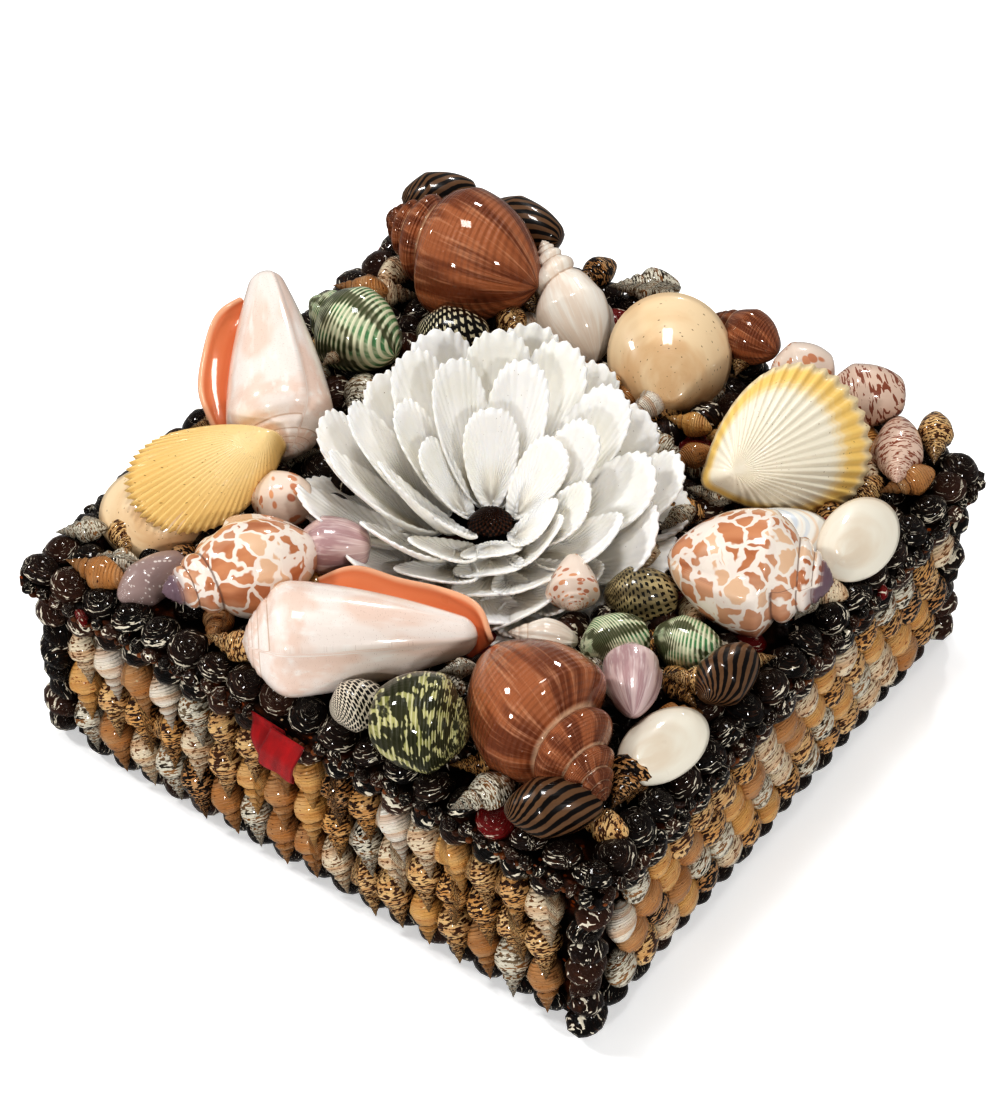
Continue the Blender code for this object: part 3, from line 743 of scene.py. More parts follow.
# %% Half shells
def half_shell(name, length, width, dome, ribs=0, rib=0.5, fan=0.0, beak=0.16, columns=64, rows=14, notch=0.02):
    """A half shell, hinge at x 0 and rim towards +X, in millimetres."""
    def shape(u, v):
        angle = 2 * np.pi * u
        along = (1 - np.cos(angle)) / 2
        edge = 1 + (notch * np.cos(ribs * angle) * along if ribs else 0)
        x = along * length * edge
        y = width / 2 * np.sin(angle) * np.maximum(along, 0.05) ** fan * edge
        spread = v ** 0.85
        z = dome * (1 - spread ** 2.1)
        if ribs:
            z = z + rib * np.cos(ribs * angle) * spread ** 0.7 * ramp(along, 0.02, 0.2)
        return beak * length + (x - beak * length) * spread, y * spread, z

    piece = grid_piece(name, columns, rows, shape)
    merge_and_face_out(piece)
    change(piece, "SOLIDIFY", thickness=1.1, offset=-1.0)
    return piece


def specked(colour, vector, scale, size, pick, share, shade):
    """A colour with grit on it: round spots of one size, few of them picked."""
    spots = use_group("spots", vector, Scale=scale, Size=size)
    dark = times(spots["Mask"], soft_step(spots["Pick"], *pick))
    return blend(times(dark, share), colour, shade)


def clam_tan(coil, tone, seed):
    x, y = split(coil)
    rings = cloudy(x, y, 0.0, 3.0, 26.0, 3.0)
    cloud = noise(seed, 3.0)
    colour = blend(soft_step(cloud, 0.35, 0.65), rgb(0.9, 0.76, 0.57), rgb(0.82, 0.63, 0.43))
    pits = use_group("spots", seed, Scale=26.0, Size=0.07)["Mask"]
    return blend(pits, colour, rgb(0.2, 0.1, 0.05)), rings


def clam_white(coil, tone, seed):
    x, y = split(coil)
    rings = cloudy(x, y, 0.0, 3.0, 22.0, 3.0)
    colour = blend(soft_step(noise(seed, 2.0), 0.35, 0.7), rgb(0.92, 0.88, 0.79), rgb(0.86, 0.78, 0.67))
    return colour, rings


def cockle_yellow(coil, tone, seed):
    x, y = split(coil)
    rings = cloudy(x, y, 0.0, 8.0, 30.0, 3.0)
    colour = blend(soft_step(y, 0.1, 0.9), rgb(0.94, 0.78, 0.5), rgb(0.9, 0.7, 0.38))
    return specked(colour, joined(times(x, 3.0), y), 26.0, 0.12, (0.62, 0.66), 0.7, rgb(0.35, 0.2, 0.05)), rings


def scallop_white(coil, tone, seed):
    x, y = split(coil)
    rings = cloudy(x, y, 0.0, 6.0, 26.0, 3.0)
    rim = soft_step(plus(y, times(rings, 0.1)), 0.7, 0.9)
    rim = minus(rim, times(soft_step(y, 0.9, 0.98), 0.55))
    colour = blend(rim, rgb(0.94, 0.89, 0.78), rgb(0.93, 0.73, 0.36))
    return specked(colour, joined(times(x, 3.0), y), 30.0, 0.1, (0.7, 0.74), 0.7, rgb(0.4, 0.24, 0.1)), rings


def pearly(coil, tone, seed):
    x, y = split(coil)
    rings = cloudy(x, y, 0.0, 2.0, 7.0)
    colour = blend(soft_step(rings, 0.38, 0.5), rgb(0.74, 0.77, 0.8), rgb(0.9, 0.88, 0.83))
    return blend(soft_step(rings, 0.55, 0.66), colour, rgb(0.9, 0.78, 0.66)), rings


FINISH["tan_clam"] = shell_finish("tan clam", clam_tan, relief=0.12)
FINISH["white_clam"] = shell_finish("white clam", clam_white, relief=0.04)
FINISH["yellow_cockle"] = shell_finish("yellow cockle", cockle_yellow, relief=0.3, coat=0.6)
FINISH["scallop"] = shell_finish("white scallop with yellow rim", scallop_white, relief=0.3, coat=0.6)
FINISH["pearl"] = shell_finish("pearly half shell", pearly, rough=0.15, relief=0.1)

RIBBED_COCKLE = {"ribs": 54, "fan": 0.35, "rib": 0.22, "columns": 216}
RIBBED_SCALLOP = {"ribs": 38, "fan": 0.35, "rib": 0.45, "columns": 228, "notch": 0.011}
HALVES = [
    # node, finish, slot, at, length and width and dome, ribs, place
    ("tan_clam", "tan_clam", "tan", (-71, -57), (28, 26, 8), {}, dict(heading=200, lift=1.5, roll=-26)),
    ("yellow_cockle", "yellow_cockle", "yellow", (-66, -43), (44, 36, 10), RIBBED_COCKLE,
     dict(heading=246, lift=9.5, roll=-16)),
    ("cream_clam", "white_clam", "white", (78.5, -46), (28, 17, 4.6), {}, dict(heading=80, lift=5, roll=20)),
    ("white_clam", "white_clam", "white", (80, 40), (30, 19, 4.4), {}, dict(heading=90, lift=5, roll=25)),
    ("scallop", "scallop", "yellow", (53, 50), (46, 48, 9), RIBBED_SCALLOP,
     dict(heading=58, lift=4, pitch=11, roll=43)),
    ("tan_disc", "tan_clam", "tan", (5, 65), (34, 33, 11), {}, dict(heading=125, pitch=44)),
]
for label, finish, slot, at, sizes, ribbing, place in HALVES:
    dress(stand(half_shell(label + "_shell", *sizes, **ribbing), at, **place), finish, slot + "_shell", label)
dress(stand(half_shell("pearly_half_shell", 27, 20, 5, fan=0.2), (63, 31), 7, 20, 6, 8), "pearl", "white_shell")
print("half shells", len(HALVES), "and a pearly one over the scallop's edge")

# %% [markdown]
# ## Small shells, made once
# The walls carry hundreds of small shells of a few kinds: spindles with a pointed spire, round dark
# nerites, button shells, and flat ones laid like scales. One of each is made with few faces, because the
# varnish and the pattern do most of the work at this size. Copies then get their place, their turn and a
# tone of their own, and the copies of one row are joined into one piece.

# %% Small masters
def master(name, axis_to, **form):
    """A small snail in millimetres, its apex turned to axis_to."""
    made = snail(name, **form)
    bake(made, Vector((-1, 0, 0)).rotation_difference(Vector(axis_to)).to_matrix().to_4x4())
    set_tone(made, 0.0)
    return made


SPINDLE = master("spindle", (0, -1, 0), length=19.0, girth=9.2, shoulder=0.56, seam=0.5, ratio=1.48, swell=0.42,
                 lip=0.1, blunt=0.2, spire_power=1.05, body_power=1.9, columns=12, rows=28)
NERITE = master("nerite", (0, -1, 0), length=11.5, girth=9.2, shoulder=0.4, seam=0.24, ratio=2.2, swell=0.08,
                blunt=0.45, spire_power=0.55, body_power=2.8, columns=11, rows=7)
BUTTON = master("button", (0, 0, 1), length=6.6, girth=11.0, shoulder=0.62, seam=0.34, ratio=1.8, swell=0.1,
                lip=0.06, blunt=0.62, spire_power=0.52, body_power=2.2, columns=13, rows=7)
SCALE = master("scale", (0, 1, 0), length=13.0, girth=11.2, shoulder=0.42, seam=0.2, ratio=2.4, swell=0.05, lip=0.04,
               blunt=0.3, spire_power=0.62, body_power=2.2, press=0.62, columns=12, rows=7)
MASTERS = (SPINDLE, NERITE, BUTTON, SCALE)
print("faces of the small shells", [len(m.data.polygons) for m in MASTERS])

# %% Copies
UPRIGHT = Matrix(((1, 0, 0), (0, 0, 1), (0, -1, 0))).transposed().to_4x4()


def quarter(turns):
    """From the front wall to the wall so many quarter turns on."""
    return Matrix.Rotation(turns * math.pi / 2, 4, "Z")


def on_wall(turns, along, upward, out):
    """From a small shell's own axes, along the wall, up it and out of it, to the wall. Millimetres."""
    return quarter(turns) @ Matrix.Translation((along * MM, -out * MM, upward * MM)) @ UPRIGHT


def on_lid(x, y, height):
    """From a small shell's own axes to a place over the lid. Millimetres."""
    return Matrix.Translation((x * MM, y * MM, SHELF + height * MM))


def turned(x=0.0, y=0.0, z=0.0, size=1.0):
    """Turns in degrees about the shell's own axes, and its size."""
    turn = Euler((math.radians(x), math.radians(y), math.radians(z)), "XYZ").to_matrix().to_4x4()
    return turn @ Matrix.Scale(size * MM, 4)


def join_all(parts, name):
    """Joins pieces into the first, under one name."""
    select_only(*parts)
    bpy.ops.object.join()
    parts[0].name = name
    parts[0].data.name = name
    return parts[0]


def copies(name, made_from, finish, slot, *nodes):
    """Copies of masters at (master, matrix, tone), each with its own mesh, joined into one piece."""
    single = []
    for source, matrix, tone in made_from:
        one = bpy.data.objects.new(name, source.data.copy())
        bake(one, matrix)
        set_tone(one, tone)
        bpy.context.scene.collection.objects.link(one)
        single.append(one)
    return assign(join_all(single, name), finish, slot, *nodes)


print("copy helpers ready")

# %% [markdown]
# ## Finishes of the small shells
# The tone of each copy picks its colours: orange, tan with brown flecks, cream, or black with white
# flecks. A colour ramp with sudden steps does that. The dark nerites and buttons are nearly black, with
# ivory flecks near the rim, and a few of them are maroon.

# %% Small finishes
def steps(value, stops):
    """A colour ramp with sudden steps, from (position, colour)."""
    made = node("ShaderNodeValToRGB", {"Fac": value})
    made.color_ramp.interpolation = "CONSTANT"
    elements = made.color_ramp.elements
    for index, (position, colour) in enumerate(stops):
        element = elements[index] if index < 2 else elements.new(position)
        element.position = position
        element.color = colour
    return made.outputs["Color"]


MIXED_KINDS = (
    # from this tone on: ground, marks, how much of it they cover
    (0.0, (0.84, 0.57, 0.27), (0.5, 0.22, 0.08), 0.3),
    (0.14, (0.6, 0.36, 0.18), (0.2, 0.08, 0.04), 0.3),
    (0.26, (0.92, 0.7, 0.42), (0.2, 0.1, 0.05), 0.47),
    (0.46, (0.86, 0.59, 0.3), (0.14, 0.07, 0.04), 0.47),
    (0.62, (0.93, 0.84, 0.69), (0.36, 0.2, 0.1), 0.4),
    (0.76, (0.95, 0.91, 0.84), (0.55, 0.36, 0.22), 0.3),
    (0.81, (0.03, 0.022, 0.016), (0.86, 0.82, 0.72), 0.5),
    (0.93, (0.7, 0.46, 0.25), (0.05, 0.025, 0.015), 0.5),
)
DARK_KINDS = ((0.0, (0.025, 0.016, 0.012)), (0.4, (0.06, 0.033, 0.022)), (0.72, (0.13, 0.065, 0.04)),
              (0.94, (0.34, 0.035, 0.04)))


def small_mixed(coil, tone, seed):
    x, y = split(coil)
    growth = grown(coil, 30.0)
    base = steps(tone, [(start, rgb(*ground)) for start, ground, marks, cover in MIXED_KINDS])
    mark = steps(tone, [(start, rgb(*marks)) for start, ground, marks, cover in MIXED_KINDS])
    cover = steps(tone, [(start, (cover, cover, cover, 1.0)) for start, ground, marks, cover in MIXED_KINDS])
    threshold = minus(0.98, red_part(cover))
    z = times(tone, 91.0)
    flecks = cloudy(x, y, z, 17.0, 8.0)
    edge = minus(flecks, threshold)
    marks = soft_step(edge, -0.015, 0.02)
    cloud = noise(joined(times(x, 2.0), y, z), 1.3, 2.0)
    base = blend(times(soft_step(cloud, 0.35, 0.7), 0.35), base, rgb(0.86, 0.7, 0.5))
    # Painted shade: a brown band towards each seam between the whorls stands in for the shade that falls under each
    # whorl.
    seam_shade_band = times(soft_step(growth["Across"], 0.35, 0.95), 0.5)
    base = blend(seam_shade_band, base, rgb(0.68, 0.38, 0.15))
    colour = blend(marks, base, mark)
    # Painted shade: the seams between the whorls are darkened, as the shade in the recess.
    colour = blend(times(growth["Seam"], 0.8), colour, rgb(0.14, 0.06, 0.03))
    cords = times(maths("SINE", times(y, 38.0)), 0.3)
    return colour, plus(growth["Lines"], cords)


def small_dark(coil, tone, seed):
    x, y = split(coil)
    z = times(tone, 91.0)
    growth = grown(coil, 30.0)
    base = steps(tone, [(start, rgb(*ground)) for start, ground in DARK_KINDS])
    cloud = noise(joined(times(x, 4.0), times(y, 2.0), z), 2.0, 3.0)
    base = blend(times(soft_step(cloud, 0.5, 0.75), 0.5), base, rgb(0.24, 0.12, 0.065))
    flecks = cloudy(x, y, z, 9.0, 3.5, 2.0, 0.7)
    rim = soft_step(y, 0.2, 0.9)
    marks = soft_step(plus(flecks, times(rim, 0.06)), 0.65, 0.67)
    colour = blend(marks, base, rgb(0.88, 0.83, 0.72))
    colour = blend(times(growth["Seam"], 0.5), colour, rgb(0.13, 0.06, 0.03))
    grain = cloudy(x, y, z, 16.0, 7.0)
    return colour, times(grain, 2.2)


def rust_grains(coil, tone, seed):
    place = object_place(coil)
    cloud = noise(place, 300.0, 3.0)
    colour = blend(tone, rgb(0.13, 0.055, 0.025), rgb(0.4, 0.19, 0.08))
    return blend(soft_step(cloud, 0.5, 0.65), colour, rgb(0.12, 0.05, 0.025)), cloud


def glue_ground(coil, tone, seed):
    place = object_place(coil)
    lumps = noise(place, 420.0, 4.0)
    broad = noise(place, 120.0, 3.0)
    colour = blend(soft_step(broad, 0.45, 0.7), rgb(0.03, 0.018, 0.012), rgb(0.2, 0.08, 0.03))
    grains = use_group("spots", place, Scale=520.0, Size=0.26)
    rust = times(grains["Mask"], soft_step(grains["Pick"], 0.72, 0.74))
    colour = blend(rust, colour, rgb(0.42, 0.15, 0.035))
    pale = times(grains["Mask"], soft_step(grains["Pick"], 0.95, 0.96))
    return blend(pale, colour, rgb(0.75, 0.62, 0.45)), lumps


FINISH["small_mixed"] = shell_finish("mixed small shells", small_mixed, rough=0.16, relief=0.9, depth=0.0005)
FINISH["small_dark"] = shell_finish("dark small shells", small_dark, rough=0.2, coat=0.8, relief=0.8, depth=0.0005)
FINISH["rust"] = shell_finish("rusty grains", rust_grains, rough=0.3, coat=0.6, relief=0.8, depth=0.0006)
FINISH["glue"] = shell_finish("dark glue with grains", glue_ground, rough=0.35, coat=0.25, relief=1.0, depth=0.0012)
for label in ("box_carcass", "lid_board"):
    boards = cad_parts[label].data.materials
    boards.clear()
    boards.append(FINISH["glue"])
print("small finishes ready")

# %% [markdown]
# ## The four walls
# Front and back carry columns of three spindles, spire down and leaning, each lapping over the next. The
# side walls carry flat shells like roof scales, staggered. All four have a rim row of dark nerites, which
# lean, and a foot row of dark buttons whose edges make a scalloped line above the table.

# %% Walls
BOX_WIDTH = 180.0
BOX_DEPTH = 178.0
WALL_HEIGHT = 57.5
BUILD_UP = 8.5
CORNER_LAP = 5.0
SIDES = ("front", "right", "back", "left")
FOOT_HEIGHT = 5.6
RIM_HEIGHT = 52.3
SPINDLE_COURSE = 13.4
SCALE_START = 15.0
SCALE_COURSE = 9.1
SCALE_TONES = (0.05, 0.1, 0.2, 0.3, 0.4, 0.5, 0.55, 0.65, 0.7, 0.72, 0.8, 0.87, 0.95)
NO_MAROON = 0.93
random.seed(11)


def jitter(amount):
    return random.uniform(-amount, amount)


def side_sizes(turns):
    """How wide a side is, and how far it is from the one behind it."""
    return (BOX_WIDTH, BOX_DEPTH) if turns % 2 == 0 else (BOX_DEPTH, BOX_WIDTH)


def spread(run, gap, shift=0.0):
    """Even places along a run, about gap apart. With a shift, the one that would pass the end is left out."""
    count = round(run / gap)
    places = [-run / 2 + (i + 0.5 + shift) * (run / count) for i in range(count)]
    return [x for x in places if x <= run / 2]


for turns, wall in enumerate(SIDES):
    width, depth = side_sizes(turns)
    distance = depth / 2 - BUILD_UP
    run = width - 2 * (BUILD_UP + CORNER_LAP)
    foot, rim, field = [], [], []
    for x in spread(run, 9.2):
        foot.append((BUTTON, on_wall(turns, x + jitter(0.4), FOOT_HEIGHT + jitter(0.3), distance + 2.4 + jitter(0.3))
                     @ turned(-12 + jitter(10), jitter(12), jitter(180), 0.94), random.uniform(0, NO_MAROON)))
        rim.append((NERITE, on_wall(turns, x + jitter(0.5), RIM_HEIGHT + jitter(0.5), distance + 3.9 + jitter(0.3))
                    @ turned(jitter(12), jitter(20), -28 + jitter(16)), random.uniform(0, NO_MAROON)))
    if turns % 2 == 0:
        kind = "spindle"
        for x in spread(run, 8.9):
            for course in range(3):
                upward = SPINDLE_COURSE + course * SPINDLE_COURSE
                field.append((SPINDLE, on_wall(turns, x + jitter(0.5), upward + jitter(0.6), distance + 4.2)
                              @ turned(-15 + jitter(4), 0, 19 + jitter(7), random.uniform(0.92, 1.04))
                              @ Matrix.Rotation(jitter(math.pi), 4, "Y"), random.random()))
    else:
        kind = "scale"
        for course in range(4):
            upward = SCALE_START + course * SCALE_COURSE
            for x in spread(run, 9.4, 0.5 * (course % 2)):
                out = distance + 3.5
                field.append((SCALE, on_wall(turns, x + jitter(0.5), upward + jitter(0.5), out + jitter(0.3))
                              @ turned(-16 + jitter(5), jitter(6), jitter(22), random.uniform(0.92, 1.06)),
                              random.choice(SCALE_TONES) + jitter(0.03)))
    copies(wall + "_foot_shells", foot, "small_dark", "dark_nerite", wall + "_foot_nerites")
    copies(wall + "_rim_shells", rim, "small_dark", "dark_nerite", wall + "_rim_nerites")
    copies(wall + "_field_shells", field, "small_mixed", kind + "_shell", f"{wall}_wall_{kind}s")
    print(wall, "wall:", len(foot), "at the foot,", len(field), "in the field,", len(rim), "at the rim")

# %% [markdown]
# ## The corners
# Dark nerites are stacked up each corner like a column, each with its long side across the corner.

# %% Corners
CORNER_SHELLS = 8
CORNERS = ("front_right", "back_right", "back_left", "front_left")
for turns, corner in enumerate(CORNERS):
    width, depth = side_sizes(turns)
    stack = []
    for i in range(CORNER_SHELLS):
        upward = 5.8 + i * (WALL_HEIGHT - 9.6) / (CORNER_SHELLS - 1)
        middle = quarter(turns) @ Matrix.Translation((
            (width / 2 - BUILD_UP + 2.4) * MM, -(depth / 2 - BUILD_UP + 2.4) * MM, upward * MM))
        face = Matrix.Rotation(math.pi / 4, 4, "Z") @ UPRIGHT @ Matrix.Translation((jitter(1.0) * MM, 0, 0))
        stack.append((BUTTON if i % 3 == 2 else NERITE, middle @ face
                      @ turned(18 + jitter(16), jitter(24), 90 + jitter(40), random.uniform(0.86, 1.04)),
                      random.uniform(0, NO_MAROON)))
    copies(corner + "_corner_shells", stack, "small_dark", "dark_nerite", corner + "_corner_nerites")
print("corner stacks", len(CORNERS))

# %% [markdown]
# ## The lid's edge
# One row of button shells runs round the lid, spire up, nearly black with ivory marks and a few maroon
# ones. They stand a little over the edge of the board. On the edge itself, under them, run a row of small
# dark beads and a thin line of rusty grains, with a gap for the ribbon in front.

# %% Lid border
TAB_MIDDLE = -3.5
EDGE_GRAINS = 90


def on_edge(turns, x, inward, height, slack, rise):
    """A place by the lid's edge, off by at most slack across and rise up. Millimetres."""
    edge = side_sizes(turns)[1] / 2 - 0.6
    return quarter(turns) @ Matrix.Translation((
        x * MM, (-edge + inward + jitter(slack)) * MM, SHELF + (height + jitter(rise)) * MM))


def tumbled(least, most):
    """Any turn at all, at a size between two."""
    return turned(jitter(180), jitter(180), jitter(180), random.uniform(least, most))


for turns, wall in enumerate(SIDES):
    width, depth = side_sizes(turns)
    buttons, beads, grains = [], [], []
    for x in spread(width - (1.2 if turns % 2 == 0 else 2 * 7.7), 9.6):
        buttons.append((BUTTON, on_edge(turns, x, 4.3, 2.6, 0.4, 0.4)
                        @ turned(18 + jitter(14), jitter(14), jitter(180), random.uniform(0.92, 1.04)),
                        random.random() if random.random() < 0.35 else random.uniform(0, 0.9)))
    copies(wall + "_lid_shells", buttons, "small_dark", "dark_nerite", wall + "_lid_buttons")
    for i, x in enumerate(spread(width - 4, 4.4)):
        if wall != "front" or abs(x - TAB_MIDDLE) >= 8:
            beads.append((NERITE if i % 2 else BUTTON, on_edge(turns, x, -0.3, -1.5, 0.4, 0.4)
                          @ tumbled(0.36, 0.48), random.random()))
    copies(wall + "_edge_beads", beads, "small_dark", "dark_nerite")
    for x in spread(width - 4, (width - 4) / EDGE_GRAINS):
        grains.append((NERITE, on_edge(turns, x, -0.1, -3.9, 0.3, 0.5) @ tumbled(0.14, 0.23), random.random()))
    copies(wall + "_edge_grains", grains, "rust", "dark_nerite")
    print(wall, "edge of the lid:", len(buttons), "buttons and", len(beads), "beads")

# %% [markdown]
# ## The flower
# The middle of the lid is a rose of white half shells. Each petal is a shallow bowl with fine ribs and a
# toothed rim, glued by its beak, and each leans over the one beside it. They stand in four rings, the
# inner ones steeper. Towards the front right corner they are shorter and lie lower, so that the rose
# opens to that side, and nine more lie under them there. A petal is built along the same curve as the
# cup of the solids that it stands for.

# %% Petals
FLOWER = (0.0, -8.0)
FRONT = math.radians(-55)
PETAL_RIBS = 30


def petal(name, angle, foot, foot_height, reach, rise, curl, width, lean, hollow=4.6):
    """One petal, from the foot to the reach, in millimetres over the lid."""
    facing = math.cos(angle - FRONT)
    forward = max(0.0, facing)
    span = reach * (1 - 0.26 * forward) - foot
    tall = rise * (1 - 0.3 * facing - 0.42 * forward ** 2)
    width = width * (1 + 0.1 * forward)
    hollow = hollow * (1 - 0.5 * max(0.0, facing + 0.3) / 1.3)
    outward = np.array((math.cos(angle), math.sin(angle), 0.0))
    sideways = np.array((-math.sin(angle), math.cos(angle), 0.0))
    upward = np.array((0.0, 0.0, 1.0))

    def shape(u, v):
        way = 2 * np.pi * u
        along = (1 - np.cos(way)) / 2
        spread = v ** 0.85
        tooth = 1 + 0.012 * np.cos(PETAL_RIBS * way) * ramp(along, 0.2, 0.6)
        p = 0.1 + (along * tooth - 0.1) * spread
        q = np.sign(np.sin(way)) * np.abs(np.sin(way)) ** 0.72 * np.maximum(along, 0.05) ** 0.35 * spread * tooth
        p = np.clip(p, 0.0, 1.1)
        out = foot + span * p
        high = foot_height + tall * p ** curl
        slope = tall * curl * np.maximum(p, 0.02) ** (curl - 1)
        size = np.sqrt(span ** 2 + slope ** 2)
        inward = (-slope / size)[:, None] * outward + (span / size)[:, None] * upward
        lift = hollow * (spread ** 2.2 - 0.5) + 0.14 * np.cos(PETAL_RIBS * way) * spread
        lift = lift + math.tan(lean) * q * width / 2
        points = out[:, None] * outward + high[:, None] * upward + (q * width / 2)[:, None] * sideways
        points = points + lift[:, None] * inward
        return (points[:, 0] + FLOWER[0]) * MM, (points[:, 1] + FLOWER[1]) * MM, points[:, 2] * MM + SHELF

    piece = grid_piece(name, 136, 9, shape)
    merge_and_face_out(piece, 0.00002)
    change(piece, "SOLIDIFY", thickness=0.0006, offset=0.0)
    set_tone(piece, random.random())
    return piece


def petal_white(coil, tone, seed):
    x, y = split(coil)
    z = times(tone, 19.0)
    rings = cloudy(x, y, z, 5.0, 18.0, 3.0)
    cloud = cloudy(x, y, z, 4.0, 2.0)
    colour = blend(soft_step(cloud, 0.4, 0.7), rgb(0.985, 0.965, 0.93), rgb(0.955, 0.93, 0.87))
    foot = soft_step(times(y, -1.0), -0.45, -0.1)
    colour = blend(times(foot, 0.4), colour, rgb(0.88, 0.79, 0.63))
    colour = specked(colour, joined(times(x, 3.0), y, z), 22.0, 0.06, (0.8, 0.82), 0.6, rgb(0.3, 0.2, 0.12))
    ribs = times(maths("COSINE", times(x, 2 * math.pi * PETAL_RIBS)), 0.35)
    return colour, plus(rings, ribs)


FINISH["petal"] = shell_finish("white petal", petal_white, rough=0.42, coat=0.15, relief=0.35, depth=0.0004)
fill(FINISH["petal"].node_tree.nodes["Principled BSDF"], {
    "Subsurface Weight": 0.5, "Subsurface Radius": (1.0, 0.9, 0.75), "Subsurface Scale": 0.002})
RINGS = [
    # node, petals, first turn, foot, height, reach, rise, curl, width
    ("outer_petals", 14, 0.5, 17.0, 1.6, 49.0, 20.0, 1.5, 24.0),
    ("middle_petals", 12, 0.2, 12.0, 2.8, 41.0, 24.0, 1.3, 22.0),
    ("inner_petals", 9, 0.6, 8.0, 4.0, 31.0, 23.0, 1.15, 19.0),
]
random.seed(5)
for label, count, first, foot, height, reach, rise, curl, width in RINGS:
    parts = []
    for i in range(count):
        angle = 2 * math.pi * (i + first + jitter(0.2)) / count
        parts.append(petal(label, angle, foot, height + jitter(0.3), reach + jitter(2.2), rise + jitter(2.4), curl,
                           width * random.uniform(0.92, 1.1), math.radians(10 + jitter(11))))
    if label == "outer_petals":
        for i in range(9):
            angle = FRONT + math.radians((i - 4) * 24 + jitter(3))
            parts.append(petal(label, angle, 21.0, 0.9, 52.0 + jitter(2), 7.0, 1.2, 25.0,
                               math.radians(jitter(9)), 3.0))
    if label == "inner_petals":
        for i in range(6):
            angle = 2 * math.pi * (i + 0.1) / 6
            parts.append(petal(label, angle, 5.5, 5.0, 21.0, 17.0, 1.05, 17.0, math.radians(14 + jitter(8)), 2.4))
    ring = assign(join_all(parts, label + "_shells"), "petal", "white_shell", label)
    print(label, len(parts), "petals,", len(ring.data.polygons), "faces")

# %% The brown cap in the middle
def cap_scaly(coil, tone, seed):
    x, y = split(coil)
    scales = times(maths("COSINE", times(x, 2 * math.pi * 22)),
                   maths("SINE", times(y, 2 * math.pi * 5)))
    colour = blend(soft_step(scales, -0.4, 0.7), rgb(0.045, 0.022, 0.013), rgb(0.22, 0.1, 0.05))
    return colour, scales


FINISH["cap"] = shell_finish("scaly brown cap", cap_scaly, rough=0.4, coat=0.4, relief=1.0, depth=0.0008)
cap = half_shell("flower_cap_shell", 12.0, 9.6, 5.0, ribs=22, rib=0.25, beak=0.5, columns=88, rows=10, notch=0.03)
stand(cap, FLOWER, lift=5.8, heading=35)
dress(cap, "cap", "brown_shell", "flower_cap")
print("cap at", [round(v / MM, 1) for v in extent(cap)[1]])

# %% [markdown]
# ## The lips of the two conches
# A grown conch spreads its outer lip into a wide orange flange behind the body. It is a strip: its inner
# edge follows the body, its outer edge runs some way off and up, and it hollows a little between them.

# %% Conch lips
def smooth_line(points, share):
    """A smooth line through points, sampled at share 0 to 1."""
    points = np.array(points, dtype=float)
    padded = np.vstack([2 * points[0] - points[1], points, 2 * points[-1] - points[-2]])
    place = np.clip(share, 0, 1) * (len(points) - 1)
    first = np.minimum(place.astype(int), len(points) - 2)
    t = (place - first)[:, None]
    a, b, c, d = (padded[first + k] for k in range(4))
    return 0.5 * (2 * b + (c - a) * t + (2 * a - 5 * b + 4 * c - d) * t ** 2 + (3 * b - a - 3 * c + d) * t ** 3)


def conch_lip(name, inner, outer, sag, wave):
    """A flange between two lines of points, in millimetres over the lid, hollow by sag, its rim waved."""
    def shape(u, v):
        near = smooth_line(inner, u)
        far = smooth_line(outer, u)
        over = far - near
        points = near + over * v[:, None]
        along = smooth_line(outer, np.clip(u + 0.01, 0, 1)) - smooth_line(outer, np.clip(u - 0.01, 0, 1))
        face = np.cross(along, over)
        face /= np.linalg.norm(face, axis=1)[:, None]
        face *= np.sign(face[:, 2])[:, None]
        depth = -sag * np.sin(np.pi * v) * np.sin(np.pi * np.clip(u, 0.05, 0.95)) ** 0.5
        depth = depth + wave * v ** 2 * np.sin(2.6 * np.pi * u + 0.6) + 1.1 * ramp(v, 0.86, 1.0)
        points = points + depth[:, None] * face
        return points[:, 0] * MM, points[:, 1] * MM, points[:, 2] * MM + SHELF

    piece = grid_piece(name, 44, 14, shape)
    change(piece, "SOLIDIFY", thickness=0.0015, offset=0.0)
    change(piece, "SUBSURF", levels=1, render_levels=1)
    bpy.ops.object.shade_smooth()
    return piece


def lip_orange(coil, tone, seed):
    x, y = split(coil)
    streaks = cloudy(x, y, 0.0, 2.0, 9.0, 3.0)
    colour = blend(soft_step(plus(y, times(streaks, 0.2)), 0.2, 1.0),
                   rgb(0.68, 0.25, 0.12), rgb(0.8, 0.38, 0.22))
    rim = soft_step(y, 0.9, 0.97)
    return blend(rim, colour, rgb(0.88, 0.58, 0.42)), streaks


FINISH["lip"] = shell_finish("orange conch lip", lip_orange, relief=0.15)
LIPS = {
    "front_conch_lip": (
        [(-15, -61, 13), (-8, -60, 16), (1, -58, 16), (9, -55.5, 14), (17, -52.5, 11), (24, -50, 8)],
        [(-20.5, -53, 10), (-13, -47, 14), (-1.5, -45, 16.5), (9.5, -42.5, 18), (20.5, -41.5, 17.5), (28, -45.5, 13)],
        2.4, 0.8),
    "left_conch_lip": (
        [(-86, 7, 21), (-82, -1, 20), (-78, -9, 17), (-75, -15, 14), (-72, -20, 10)],
        [(-92, 7, 23), (-94, -1, 21.5), (-92, -9, 18), (-86, -18.5, 13), (-77, -24, 8)],
        2.0, 0.9),
}
for label, shape in LIPS.items():
    dress(conch_lip(label, *shape), "lip", "pale_shell")
print("lips", len(LIPS))

# %% [markdown]
# ## Small shells between the large ones
# Hardly any ground shows on the lid: every gap is filled. First come the small shells that can be told
# apart, each at its own place, and then a scatter of dark nerites, buttons and mixed spindles over what
# is still free. A place that a large shell covers is left out. The scatter is seeded, so it is the same
# in every run.

